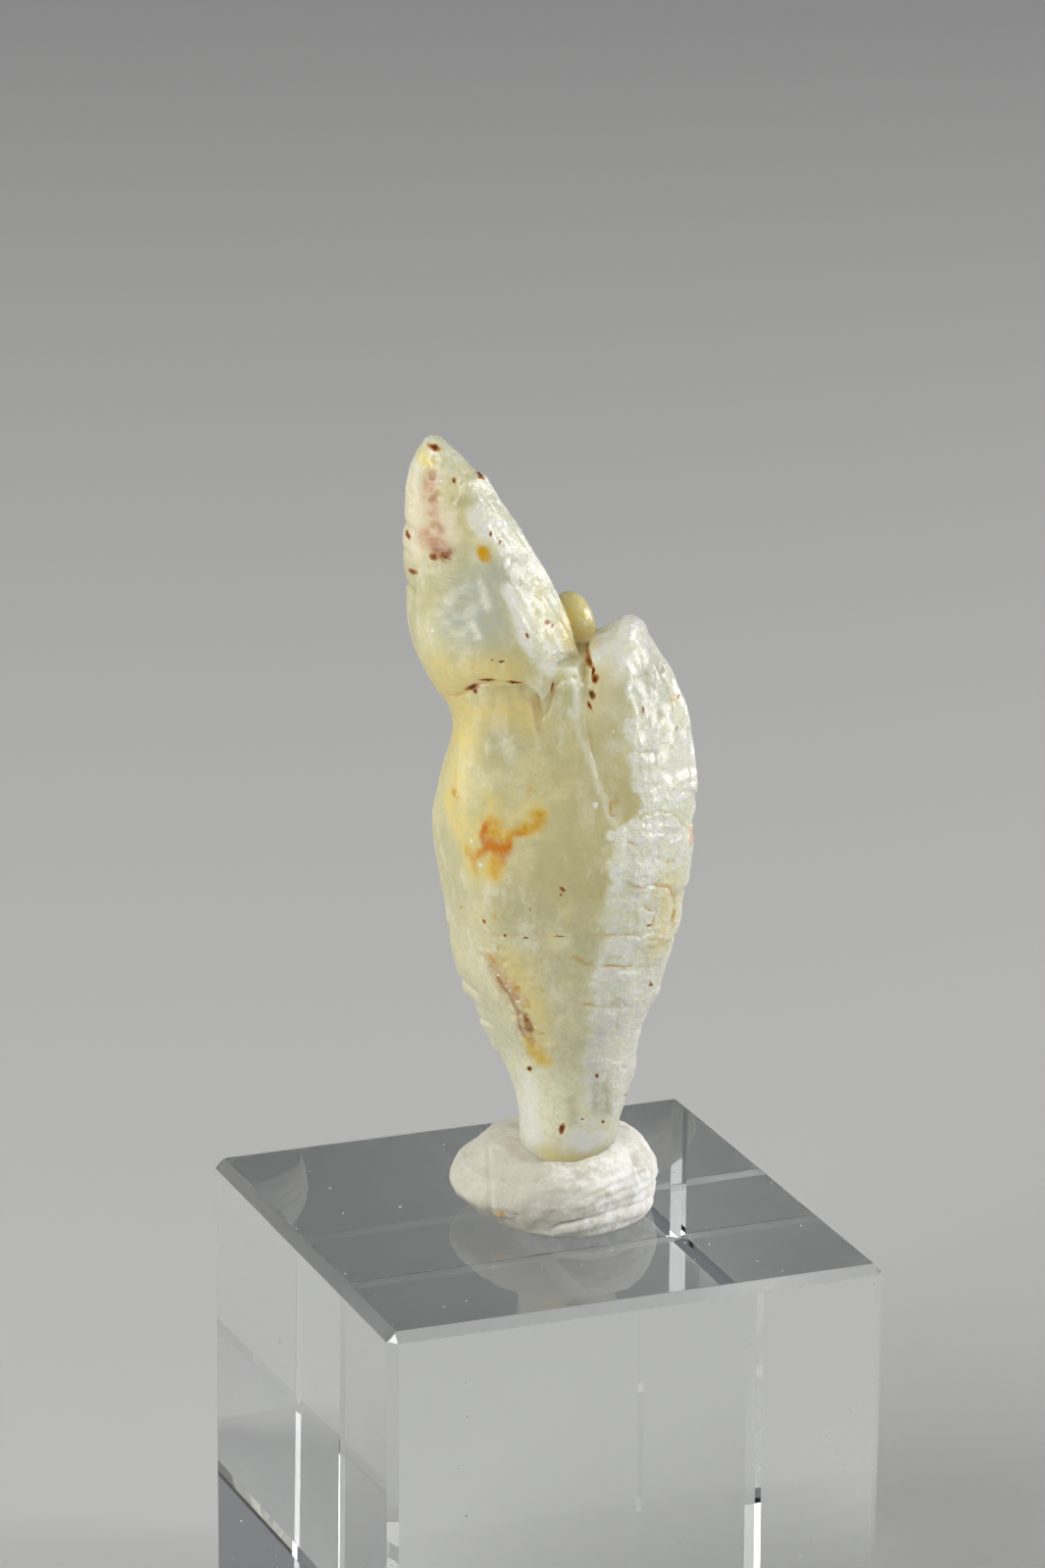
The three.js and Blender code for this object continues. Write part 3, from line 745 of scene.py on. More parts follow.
RUST_SPECKS: tuple[Speck, ...] = (
    # the cap crystal
    Speck((-4.25, 30.44), (0.22, 0.09), -12), Speck((-3.49, 29.36), (0.07, 0.1), 10),
    Speck((-2.52, 29.38), (0.2, 0.05), -45), Speck((-4.22, 26.61), (0.15, 0.13)),
    Speck((-3.8, 26.62), (0.22, 0.05), -20), Speck((-5.2, 27.15), (0.09, 0.13), 30),
    Speck((-5.02, 25.85), (0.16, 0.09), 20), Speck((-2.1, 27.46), (0.05, 0.1)),
    Speck((-1.77, 27.11), (0.04, 0.08)), Speck((-0.74, 23.83), (0.05, 0.11), 15),
    Speck((0.0, 24.12), (0.1, 0.07), -30), Speck((0.2, 23.95), (0.05, 0.05)),
    Speck((-1.7, 22.95), (0.09, 0.04)), Speck((-2.03, 23.02), (0.05, 0.03)),
    # under the cap crystal and in the groove beside the shoulder crystal
    Speck((-2.75, 21.9), (0.26, 0.1), 25), Speck((-2.65, 21.78), (0.09, 0.12)),
    Speck((-2.21, 22.25), (0.27, 0.05), 5), Speck((-1.19, 22.18), (0.26, 0.05), -6),
    Speck((0.2, 22.03), (0.05, 0.18), -10), Speck((1.6, 22.66), (0.13, 0.14), 15),
    Speck((1.72, 22.4), (0.06, 0.2), -10), Speck((1.8, 22.15), (0.12, 0.15)),
    Speck((1.7, 21.56), (0.1, 0.16), 15), Speck((1.6, 21.2), (0.06, 0.16), 20),
    # the shoulder crystal and the right-hand side
    Speck((4.9, 19.74), (0.04, 0.1)), Speck((4.97, 20.81), (0.06, 0.06)),
    Speck((3.61, 20.84), (0.03, 0.13)), Speck((3.93, 12.44), (0.11, 0.04), -10),
    Speck((4.06, 9.66), (0.06, 0.12), 20),
    # the broad face
    Speck((0.64, 14.32), (0.13, 0.06), -30), Speck((0.6, 14.1), (0.05, 0.06)),
    Speck((-2.28, 12.79), (0.05, 0.1), 10), Speck((-1.49, 12.33), (0.06, 0.06)),
    Speck((-0.72, 12.29), (0.13, 0.025)), Speck((0.57, 12.41), (0.2, 0.02)),
    Speck((-3.17, 12.91), (0.03, 0.08)), Speck((-0.54, 13.46), (0.03, 0.05)),
    # the foot
    Speck((-0.53, 6.4), (0.08, 0.12), -20), Speck((2.04, 6.24), (0.05, 0.07), 20),
    Speck((3.16, 4.88), (0.06, 0.05)), Speck((0.72, 4.04), (0.08, 0.2), -14),
    Speck((1.5, 4.41), (0.06, 0.05)), Speck((2.29, 4.2), (0.06, 0.07)),
)
# painted highlights: small white spots laid where glints would catch the light
GLINTS: tuple[Speck, ...] = (
    Speck((1.87, 17.55), (0.1, 0.13)), Speck((3.53, 17.09), (0.08, 0.1)),
    Speck((2.47, 16.29), (0.05, 0.07)), Speck((2.78, 14.4), (0.06, 0.08)),
    Speck((2.59, 12.63), (0.14, 0.12)), Speck((4.4, 11.77), (0.05, 0.08)),
    Speck((-2.43, 15.09), (0.07, 0.09)), Speck((-2.76, 15.99), (0.06, 0.08)),
    Speck((-3.32, 17.6), (0.05, 0.04)), Speck((2.71, 23.14), (0.1, 0.09)),
    Speck((2.51, 20.19), (0.05, 0.07)), Speck((2.21, 7.3), (0.1, 0.05), -40),
    Speck((2.65, 8.38), (0.05, 0.08)), Speck((2.11, 9.34), (0.08, 0.05)),
    Speck((2.12, 8.32), (0.05, 0.05)), Speck((-4.26, 23.89), (0.05, 0.06)),
    Speck((-4.0, 29.33), (0.06, 0.05)), Speck((-1.51, 26.36), (0.12, 0.17), -15),
    Speck((-1.1, 24.54), (0.07, 0.16)), Speck((-0.73, 23.6), (0.05, 0.13)),
    Speck((-4.98, 27.31), (0.04, 0.06)), Speck((-1.75, 10.55), (0.07, 0.06)),
    Speck((-1.3, 9.95), (0.05, 0.06)), Speck((-1.0, 9.5), (0.06, 0.05)),
)


@dataclass(frozen=True)
class Seam:
    """A raised or sunken line on the front, whose points are given as across and height.

    A rise below 0 makes a groove, and rust is how strongly iron has stained it.
    """

    points: Line
    rise: float
    width: float
    rust: float = 0.0


SEAMS: tuple[Seam, ...] = (
    # where the cap crystal sits on the main crystal
    Seam(((-3.9, 21.1), (-3.5, 21.3), (-3.1, 21.6), (-2.6, 22.1), (-1.7, 22.2),
         (-0.7, 22.15)), -0.06, 0.09, 0.35),
    Seam(((-0.6, 22.05), (-0.4, 21.8), (-0.25, 21.4), (-0.1, 20.7)), -0.07, 0.07, 0.25),
    Seam(((-0.05, 20.8), (0.1, 21.2), (0.3, 22.0), (0.65, 22.25), (1.2, 22.3)), -0.05, 0.07, 0.35),
    Seam(((-0.76, 21.9), (-0.58, 21.3), (-0.42, 20.7), (-0.28, 20.1), (-0.2, 19.4)), 0.05, 0.11),
    Seam(((-0.7, 22.9), (-0.1, 22.95), (0.5, 22.95), (1.2, 22.7)), -0.08, 0.07, 0.3),
    # the groove between the main crystal and the shoulder crystal
    Seam(((1.5, 22.9), (1.7, 22.5), (1.75, 21.9), (1.6, 21.3), (1.5, 20.9), (1.6, 20.2), (1.8, 19.3),
         (2.0, 18.4)), -0.05, 0.11, 0.1),
    # plates on the shoulder crystal and on the right-hand faces
    Seam(((3.5, 19.3), (4.07, 19.15), (4.08, 18.55), (3.8, 18.45)), -0.04, 0.05, 0.8),
    Seam(((3.4, 16.7), (3.65, 16.95), (3.9, 16.85), (4.15, 17.0), (4.4, 16.8), (4.7, 16.75),
         (4.9, 16.4), (5.3, 15.8)), -0.05, 0.05, 0.5),
    Seam(((3.4, 14.25), (4.0, 14.1), (4.6, 13.8), (4.83, 13.2), (4.88, 12.5),
         (4.8, 11.95)), -0.07, 0.06, 0.85),
    Seam(((3.55, 13.4), (4.15, 12.9), (4.0, 12.35)), -0.05, 0.05, 0.7),
    Seam(((-2.0, 12.3), (-0.9, 12.35), (0.9, 12.4), (2.4, 12.45)), -0.012, 0.04, 0.35),
    Seam(((2.4, 12.45), (3.3, 12.2), (4.4, 11.6)), -0.05, 0.05, 0.5),
    Seam(((1.0, 11.4), (1.8, 11.15), (2.5, 11.15), (3.3, 10.85)), -0.04, 0.05, 1.0),
    Seam(((1.5, 9.5), (2.4, 9.45), (3.0, 9.3)), -0.03, 0.05, 0.6),
    Seam(((3.4, 9.2), (3.8, 8.97)), -0.02, 0.05, 0.7),
    Seam(((2.72, 17.55), (2.45, 17.55), (2.43, 17.1), (2.62, 17.04)), -0.015, 0.05, 0.9),
    Seam(((2.75, 16.72), (2.95, 16.7)), -0.01, 0.04, 0.9),
    Seam(((3.0, 16.37), (3.15, 16.35)), -0.01, 0.04, 0.9),
    Seam(((3.1, 16.05), (3.35, 15.9)), -0.01, 0.05, 0.9),
    Seam(((4.2, 14.95), (4.5, 14.8), (4.76, 14.76)), -0.02, 0.05, 0.6),
    Seam(((-2.4, 19.27), (-1.75, 19.3), (-1.1, 19.35)), -0.015, 0.035, 0.7),
    # bright standing edges
    Seam(((2.8, 17.0), (2.75, 16.0), (2.7, 15.0), (2.6, 13.4), (2.45, 12.2)), 0.05, 0.12),
    Seam(((-3.2, 20.0), (-3.25, 19.1), (-3.3, 18.0), (-3.25, 16.9)), 0.04, 0.1),
    # notches in the left-hand outline
    Seam(((-3.4, 9.55), (-2.5, 9.15)), -0.12, 0.12),
    Seam(((-2.7, 8.0), (-2.0, 7.8)), -0.09, 0.12),
    Seam(((-5.5, 25.25), (-4.9, 25.1)), -0.14, 0.12),
    Seam(((-5.6, 27.5), (-4.9, 27.35)), -0.12, 0.1),
    Seam(((-5.6, 26.5), (-5.0, 26.4)), -0.08, 0.1),
)


# ---------------------------------------------------------------- finishes


class SapphireGraph(NodeGraph):
    """The sapphire's nodes, with the values that several of its layers read."""

    def __init__(self, name: str) -> None:
        """Adds the coordinates, the mask of etched faces, their angular grains and a fine noise.

        Args:
            name: The material's name.
        """
        super().__init__(name)
        self.place = self.specimen_place()
        self.etched = self.attribute("etched")
        drift = self.scaled(self.noise_vector(self.place, 3.0), (0.25,) * 3)
        self.grains = self.cells(self.vector("ADD", self.place, drift), 4.6)
        self.fine = self.noise(self.place, 9.0, 2.0, 0.6)


@dataclass(frozen=True)
class SapphireFinish:
    """Pale straw sapphire: milky and see-through at once, with an etched satin skin."""

    name: str = "pale_sapphire"
    body: Colour = srgb(236, 229, 180)
    deep: Colour = srgb(212, 208, 164)
    dim: Colour = srgb(198, 194, 146)
    veil: Colour = srgb(250, 248, 228)
    # painted glow: the bright colour laid on standing edges
    edge: Colour = srgb(252, 249, 228)
    # painted shade: the darker brownish colour laid in hollows
    hollow_shade: Colour = srgb(196, 172, 104)
    pale: Colour = srgb(248, 253, 242)
    # the lower body's colour: partly the foot's own cream, partly painted light that brightens the lower
    # body
    foot: Colour = srgb(254, 251, 226)
    # painted glints: the white of the small cells on the etched faces
    painted_sparkle: Colour = srgb(255, 255, 252)
    rust: Colour = srgb(96, 34, 4)
    rust_halo: Colour = srgb(192, 126, 38)
    rust_line: Colour = srgb(212, 162, 30)
    refraction: float = 1.77
    specular: float = 0.12
    clearness: float = 0.4
    scattering: float = 0.8
    scatter_reach: Point = (1.9 * MM, 1.7 * MM, 1.15 * MM)
    absorption: Colour = srgb(232, 226, 170)
    absorption_density: float = 55.0
    base_roughness: float = 0.33
    etched_roughness: float = 0.42
    coat_roughness: float = 0.12
    coat_refraction: float = 1.6
    etching_depth: float = 0.06 * MM

    def material(self) -> bpy.types.Material:
        """Builds the crystal's material.

        Returns:
            The material.
        """
        graph = SapphireGraph(self.name)
        inputs = {
            "Base Color": self.stained(graph, self.body_colour(graph)),
            "Roughness": self.roughness(graph),
            "IOR": self.refraction,
            "Specular IOR Level": self.specular,
            "Transmission Weight": self.clearness,
            "Subsurface Weight": self.scattering,
            "Subsurface Radius": self.scatter_reach,
            "Subsurface Scale": 1.0,
            "Coat Weight": self.gloss(graph),
            "Coat Roughness": self.coat_roughness,
            "Coat IOR": self.coat_refraction,
            "Normal": self.etching(graph),
        }
        volume_inputs = {"Color": self.absorption, "Density": self.absorption_density}
        volume = graph.node("VolumeAbsorption", volume_inputs).outputs[0]
        return graph.finish(inputs, volume, subsurface_method="RANDOM_WALK")

    def body_colour(self, graph: SapphireGraph) -> Socket:
        """Lays down the unstained colour: drifting zones, milky veils and pale faces, with painted light
        laid in: a lighter lower body, partly the foot's own cream and partly painted light, a painted glow
        on standing edges, painted shade in hollows and painted glints on the etched faces.

        Args:
            graph: The material's nodes.

        Returns:
            The colour's socket.
        """
        place, cell = graph.place, graph.grains["Color"]
        colour = graph.mix(graph.remap(graph.noise(place, 0.45), 0.38, 0.62), self.body, self.deep)
        # lighter towards the bottom: partly the foot's own cream and partly painted light, which brightens
        # the lower body where less light reaches
        foot = graph.remap(graph.split(place)["Z"], 15.0, 4.0, 0.0, 0.95)
        colour = graph.mix(foot, colour, self.foot)
        veil = graph.noise(graph.scaled(place, (1.0, 1.0, 0.45)), 1.15, 4.0, 0.65)
        colour = graph.mix(graph.remap(veil, 0.48, 0.68, 0.0, 0.75), colour, self.veil)
        mottle = graph.noise(place, 4.2, 4.0, 0.7)
        colour = graph.mix(graph.remap(mottle, 0.35, 0.62, 0.38, 0.0), colour, self.dim)
        # painted glow: standing edges are lightened where light would glow through them
        colour = graph.mix(graph.product(graph.attribute("edge"), 0.6), colour, self.edge)
        # painted shade: hollows are darkened towards brown
        colour = graph.mix(graph.product(graph.attribute("hollow_shade"), 0.4), colour, self.hollow_shade)
        grit = graph.remap(graph.math("ADD", mottle, cell), 0.4, 1.3, 0.68, 1.0)
        plates = graph.remap(graph.attribute("plate"), 0.1, 0.8, 0.72, 1.0, "LINEAR")
        colour = graph.mix(graph.product(graph.etched, grit, plates), colour, self.pale)
        # painted glints: some of the etched faces' cells are turned white
        painted_sparkle = graph.product(graph.remap(cell, 0.7, 0.74), graph.etched)
        colour = graph.mix(painted_sparkle, colour, self.painted_sparkle)
        return graph.mix(graph.remap(graph.fine, 0.35, 0.6, 0.15, 0.0), colour, self.dim)

    def stained(self, graph: SapphireGraph, colour: Socket) -> Socket:
        """Lays the strokes, the rusty lines, the specks and the painted glints over a colour.

        Args:
            graph: The material's nodes.
            colour: The unstained colour.

        Returns:
            The stained colour's socket.
        """
        grit = graph.remap(graph.noise(graph.place, 3.2, 4.0, 0.7), 0.3, 0.7, 0.5, 1.9, "LINEAR")
        for tint in Tint:
            mask = graph.math("MULTIPLY", graph.attribute(tint.name.lower()), grit, clamp=True)
            colour = graph.mix(mask, colour, tint.value)
        colour = graph.mix(graph.attribute("rust_line"), colour, self.rust_line)
        drift = graph.vector("SUBTRACT", graph.noise_vector(graph.place, 6.0, 0.6), (0.5,) * 3)
        moved = graph.vector("ADD", graph.place, graph.scaled(drift, (0.16,) * 3))
        seen = graph.scaled(moved, (1.0, 0.0, 1.0))
        front = graph.attribute("front")
        rust = self.nearest(graph, seen, RUST_SPECKS)
        for low, high, shade in ((1.45, 0.9, self.rust_halo), (0.9, 0.45, self.rust)):
            colour = graph.mix(graph.product(graph.remap(rust, low, high), front), colour, shade)
        # painted highlights: white spots laid at the GLINTS places
        glint = graph.remap(self.nearest(graph, seen, GLINTS), 1.2, 0.7)
        return graph.mix(graph.product(glint, front), colour, Tint.MILK.value)

    def nearest(self, graph: SapphireGraph, seen: Socket, specks: tuple[Speck, ...]) -> Socket:
        """How far each point is from the nearest speck, in half sizes of that speck.

        Args:
            graph: The material's nodes.
            seen: The specimen coordinates, flattened to the broad face.
            specks: The specks.

        Returns:
            The distance's socket.
        """
        distances = []
        for speck in specks:
            inside = graph.vector("SUBTRACT", seen, (speck.middle[0], 0.0, speck.middle[1]))
            if speck.lean:
                turned = {"Vector": inside, "Angle": math.radians(speck.lean)}
                inside = graph.node("VectorRotate", turned, rotation_type="Y_AXIS").outputs[0]
            inside = graph.scaled(inside, (1 / speck.half[0], 0.0, 1 / speck.half[1]))
            distances.append(graph.distance(inside))
        return reduce(lambda first, second: graph.math("MINIMUM", first, second), distances)

    def roughness(self, graph: SapphireGraph) -> Socket:
        """Varies the roughness between glassy and etched skin.

        Args:
            graph: The material's nodes.

        Returns:
            The roughness's socket.
        """
        speckle = graph.remap(graph.noise(graph.place, 7.0), 0.35, 0.65, -0.03, 0.03)
        level = graph.remap(graph.etched, 0.0, 1.0, self.base_roughness, self.etched_roughness, "LINEAR")
        return graph.math("ADD", level, speckle, clamp=True)

    def gloss(self, graph: SapphireGraph) -> Socket:
        """Scatters small glossy patches, which glint, over the etched faces."""
        patches = graph.remap(graph.noise(graph.place, 1.7, 2.0, 0.6), 0.42, 0.6)
        return graph.product(patches, graph.math("ADD", 0.06, graph.product(graph.etched, 0.55)))

    def etching(self, graph: SapphireGraph) -> Socket:
        """Fine etching that is too small for the mesh.

        Args:
            graph: The material's nodes.

        Returns:
            The normal's socket.
        """
        chips = graph.product(graph.grains["Distance"], graph.etched, 0.5)
        ripple = graph.noise(graph.scaled(graph.place, (1.0, 1.0, 5.0)), 2.2, 1.0, 0.55)
        relief = graph.math("ADD", graph.product(graph.fine, 0.6), graph.product(ripple, 0.4))
        strength = graph.math("ADD", 0.3, graph.product(graph.etched, 0.9))
        return graph.bump(graph.math("ADD", graph.product(relief, strength), chips), self.etching_depth)


@dataclass(frozen=True)
class PuttyFinish:
    """Soft off-white mounting putty with a fine sandy grain, one yellow spot and painted shade on its left.
    """

    name: str = "white_putty"
    body: Colour = srgb(247, 246, 241)
    shade: Colour = srgb(222, 218, 206)
    # painted shade: the grey laid over the left-hand side, away from the key light
    painted_side_shade: Colour = srgb(182, 178, 160)
    speck: Colour = srgb(120, 104, 84)
    spot: Colour = srgb(226, 176, 96)
    spot_middle: Point = (-1.58, -2.68, 0.92)
    spot_reach: float = 0.27
    scattering: float = 0.35
    scatter_reach: Point = (0.5 * MM, 0.45 * MM, 0.35 * MM)
    grain_depth: float = 0.05 * MM

    def material(self) -> bpy.types.Material:
        """Builds the putty's material.

        Returns:
            The material.
        """
        graph = NodeGraph(self.name)
        place = graph.specimen_place()
        zones = graph.remap(graph.noise(place, 1.4, 5.0, 0.7), 0.4, 0.62)
        colour = graph.mix(zones, self.body, self.shade)
        # painted shade: greyer towards the left-hand side, behind a wandering border
        drift = graph.remap(graph.noise(place, 1.3, 5.0, 0.75), 0.3, 0.7, -1.3, 1.3)
        shade_across = graph.math("ADD", graph.split(place)["X"], drift)
        colour = graph.mix(graph.remap(shade_across, 3.0, -0.4, 0.0, 0.8), colour, self.painted_side_shade)
        away = graph.distance(place, self.spot_middle)
        colour = graph.mix(graph.remap(away, self.spot_reach, 0.1, 0.0, 0.75), colour, self.spot)
        dots = graph.remap(graph.cells(place, 2.6)["Distance"], 0.1, 0.04, 0.0, 0.5)
        grain = graph.noise(place, 14.0, 4.0, 0.65)
        return graph.finish({
            "Base Color": graph.mix(dots, colour, self.speck),
            "Roughness": graph.remap(grain, 0.3, 0.7, 0.72, 0.9),
            "Subsurface Weight": self.scattering,
            "Subsurface Radius": self.scatter_reach,
            "Subsurface Scale": 1.0,
            "Normal": graph.bump(grain, self.grain_depth),
        })


@dataclass(frozen=True)
class GlassFinish:
    """Clear polished glass with faint dust and fine scratches, and with frosted chamfers."""

    name: str = "clear_glass"
    tint: Colour = srgb(250, 252, 252)
    refraction: float = 1.5
    chamfer: float = 0.35
    ground_roughness: float = 0.6
    scratch_roughness: float = 0.12

    def material(self) -> bpy.types.Material:
        """Builds the block's material.

        Returns:
            The material.
        """
        graph = NodeGraph(self.name)
        place = graph.specimen_place()
        cells = graph.cells(place, 1.1)
        size = graph.node("SeparateColor", {0: cells["Color"]}).outputs[0]
        dust = graph.math("SUBTRACT", cells["Distance"], graph.product(size, 0.06))
        streaks = graph.noise(graph.scaled(place, (0.35, 7.0, 0.35)), 1.0)
        scratches = graph.remap(streaks, 0.72, 0.76, 0.0, self.scratch_roughness)
        rough = graph.math("MAXIMUM", scratches, self.ground_edges(graph))
        return graph.finish({
            "Base Color": self.tint,
            "Roughness": graph.math("MAXIMUM", rough, graph.remap(dust, 0.01, -0.02)),
            "IOR": self.refraction,
            "Transmission Weight": 1.0,
        })

    def ground_edges(self, graph: NodeGraph) -> Socket:
        """The roughness of the narrow chamfers round the top, which are ground and not polished.

        Args:
            graph: The material's nodes.

        Returns:
            The roughness's socket, which is 0 on the polished faces.
        """
        axes = graph.split(graph.object_place())
        widest = graph.math("MAXIMUM", graph.math("ABSOLUTE", axes["X"]), graph.math("ABSOLUTE", axes["Y"]))
        out = graph.math("ADD", widest, axes["Z"])
        plane = (0.5 * BLOCK_SIDE + BLOCK_SIDE - self.chamfer) * MM
        return graph.remap(out, plane - 0.06 * MM, plane - 0.02 * MM, 0.0, self.ground_roughness)


@dataclass(frozen=True)
class FloorFinish:
    """A plain pale matt surface."""

    name: str = "pale_floor"
    colour: Colour = (0.5, 0.5, 0.49, 1.0)
    roughness: float = 0.8

    def material(self) -> bpy.types.Material:
        """Builds the floor's material."""
        return NodeGraph(self.name).finish({"Base Color": self.colour, "Roughness": self.roughness})


# ---------------------------------------------------------------- the crystal


@dataclass(frozen=True)
class Terrace:
    """A raised growth plate on the right-hand faces: its range across and its range of levels."""

    across: Place
    level: Place
    rise: float


@dataclass
class SapphireSkin(Skin):
    """The relief of the crystal's skin, its etched faces and its seams, at every vertex.

    Lengths are in millimetres and leans in degrees. Levels are heights along the tilted growth planes.
    The ground is two kinds of unevenness, each a rise and a size. The streaks' rises are those on the
    cap, the shoulder, the foot and the body. Each kind of pit is a spacing, a depth and a share left out.
    """

    plane_tilt: float = 0.33
    plane_forward: float = 3.6
    main_edge: Line = (
        (1.3, 2.0), (1.5, 5.0), (1.65, 6.3), (1.9, 8.1), (2.1, 9.5), (2.15, 10.8), (2.4, 12.4), (2.6, 14.1),
        (2.75, 15.2), (2.6, 16.5), (3.6, 17.1), (3.4, 18.6), (3.05, 20.4), (2.9, 22.1), (2.7, 23.6),
    )
    cap_edge: Line = ((-0.5, 22.9), (-0.75, 23.5), (-1.1, 24.5), (-1.5, 25.6), (-2.0, 27.0), (-2.8, 28.7))
    ground: tuple[Place, Place] = ((0.03, 1.7), (0.012, 0.45))
    dimple_depth: float = 0.022
    plate_rises: Place = (0.08, 0.04)
    step_rise: float = 0.007
    step_height: float = 0.3
    terraces: tuple[Terrace, ...] = (
        Terrace((3.4, 4.75), (12.0, 14.42), 0.06),
        Terrace((2.5, 6.2), (11.2, 12.4), 0.05),
        Terrace((1.7, 3.4), (9.66, 11.19), 0.045),
        Terrace((3.2, 5.9), (14.42, 16.4), 0.05),
        Terrace((3.5, 4.15), (18.4, 19.4), 0.04),
    )
    terrace_edge: float = 0.06
    cap_lean: float = 29.0
    shoulder_lean: float = -8.0
    streak_rises: tuple[float, ...] = (0.03, 0.028, 0.02, 0.022)
    streak_sizes: tuple[Point, Point] = ((0.28, 0.28, 2.2), (0.15, 0.15, 0.9))
    pit_kinds: tuple[Point, ...] = ((0.62, 0.07, 0.55), (0.36, 0.035, 0.5))
    furrow: Line = ((-2.0, 11.4), (-1.45, 10.1), (-0.6, 8.5), (-0.15, 7.4))
    furrow_half: float = 0.75
    crumb_rise: float = 0.05
    crumb_depth: float = 0.07

    def __post_init__(self) -> None:
        """Works out the levels and the etched faces."""
        super().__post_init__()
        self.level = self.height - self.plane_tilt * (self.forward - self.plane_forward)
        self.etched = self.etched_mask()

    def etched_mask(self) -> Array:
        """Where the skin is rough and whitish: the right-hand and rear faces, and the cap's tip.

        Returns:
            The mask, 0 to 1.
        """
        grain = Grain(Seed.ETCHED)
        boxes = np.column_stack((self.across, 0 * self.across, self.level))
        _, mark = grain.dots(boxes, (1.5, 1.0, 0.95), square=True)
        shift = 0.4 * (mark - 0.5) + 0.3 * grain.layered(self.place, 0.8)
        soft = np.interp(self.height, (12.0, 17.5), (0.5, 0.2))
        past_edge = self.across - across_along(self.main_edge, self.height) + shift
        main = smooth_step(past_edge / soft, -1.0, 1.0)
        main *= smooth_step(self.height, 23.9, 23.6) + smooth_step(self.across, 1.5, 1.7)
        main *= smooth_step(self.height, 3.5, 9.0) ** 0.5
        past_cap_edge = self.across - across_along(self.cap_edge, self.height) + 0.6 * shift
        cap = smooth_step(past_cap_edge, -0.25, 0.25) * smooth_step(self.height, 22.7, 22.9)
        rear = 0.6 * smooth_step(-self.normal[:, 1], 0.2, 0.6)
        tip = 0.4 * smooth_step(self.height, 28.6, 30.2)
        return np.clip(np.maximum.reduce((main, 0.8 * cap, rear, tip)), 0, 1)

    def uneven_ground(self) -> Array:
        """Uneven ground and shallow round dimples.

        Returns:
            The height at each vertex.
        """
        grain = Grain(Seed.GROUND)
        (coarse_rise, coarse_size), (fine_rise, fine_size) = self.ground
        ground = coarse_rise * grain.layered(self.place, coarse_size)
        ground += fine_rise * grain.smooth(self.place, fine_size)
        away, mark = grain.dots(self.place, (0.85, 0.85, 0.7))
        dimple = -self.dimple_depth * smooth_step(away, 0.5, 0.15) * (mark > 0.45)
        return ground + dimple * (1 - 0.5 * self.etched)

    def plates(self) -> tuple[Array, Array]:
        """Low box-shaped growth plates on the etched faces, with fine broken steps between them.

        Returns:
            The height at each vertex, and a random tone for each plate, 0 to 1.
        """
        grain = Grain(Seed.PLATES)
        wander = 0.1 * grain.layered(self.place, 0.8)
        laid = np.column_stack((self.across + wander, self.forward, self.level + wander))
        _, large = grain.dots(laid, (1.5, 2.4, 1.1), square=True)
        _, small = grain.dots(laid + 5, (0.6, 1.2, 0.34), square=True)
        turn = laid[:, 2] / self.step_height + 0.6 * grain.smooth(self.place, 1.2)
        share = turn - np.floor(turn)
        step = self.step_rise * (smooth_step(share, 0.0, 0.7) - smooth_step(share, 0.8, 1.0))
        step *= smooth_step(grain.layered(self.place + 4, 0.9), 0.0, 0.3)
        relief = self.plate_rises[0] * large + self.plate_rises[1] * small + step
        return relief * smooth_step(self.height, 18.6, 17.0) * self.etched, 0.7 * large + 0.3 * small

    def seams(self) -> tuple[Array, Array]:
        """Cuts and raises the seams, and marks where they are rusty.

        Returns:
            The height at each vertex, and the rust, 0 to 1.
        """
        grain = Grain(Seed.SEAMS)
        moved = self.place + 0.05 * grain.drift(self.place, 0.5, (0.0, 11.0, 23.0), layers=1)
        broken = smooth_step(grain.layered(self.place, 0.5), -0.3, 0.25)
        relief, rust = np.zeros(len(self.place)), np.zeros(len(self.place))
        front = self.front()
        for seam in SEAMS:
            away, share = distance_to_line(moved, seam.points, 4 * seam.width)
            ends = smooth_step(share, 0.0, 0.1) * smooth_step(share, 1.0, 0.9)
            relief += seam.rise * bell(away, seam.width) * ends * front
            rust = np.maximum(rust, seam.rust * bell(away, 0.75 * seam.width) * broken * front)
        return relief, rust

    def raised_terraces(self) -> Array:
        """Raised growth plates with crisp edges.

        Returns:
            The height at each vertex.
        """
        grain = Grain(Seed.TERRACES)
        across = self.across + 0.12 * grain.layered(self.place, 0.8)
        level = self.level + 0.06 * grain.layered(self.place + 3, 0.8)
        total = np.zeros(len(self.place))
        edge = self.terrace_edge
        for plate in self.terraces:
            inside = np.ones(len(self.place))
            for value, (low, high) in ((across, plate.across), (level, plate.level)):
                inside *= smooth_step(value, low - edge, low + edge)
                inside *= smooth_step(value, high + edge, high - edge)
            total += plate.rise * inside
        return total * smooth_step(self.normal[:, 0], 0.15, 0.4)

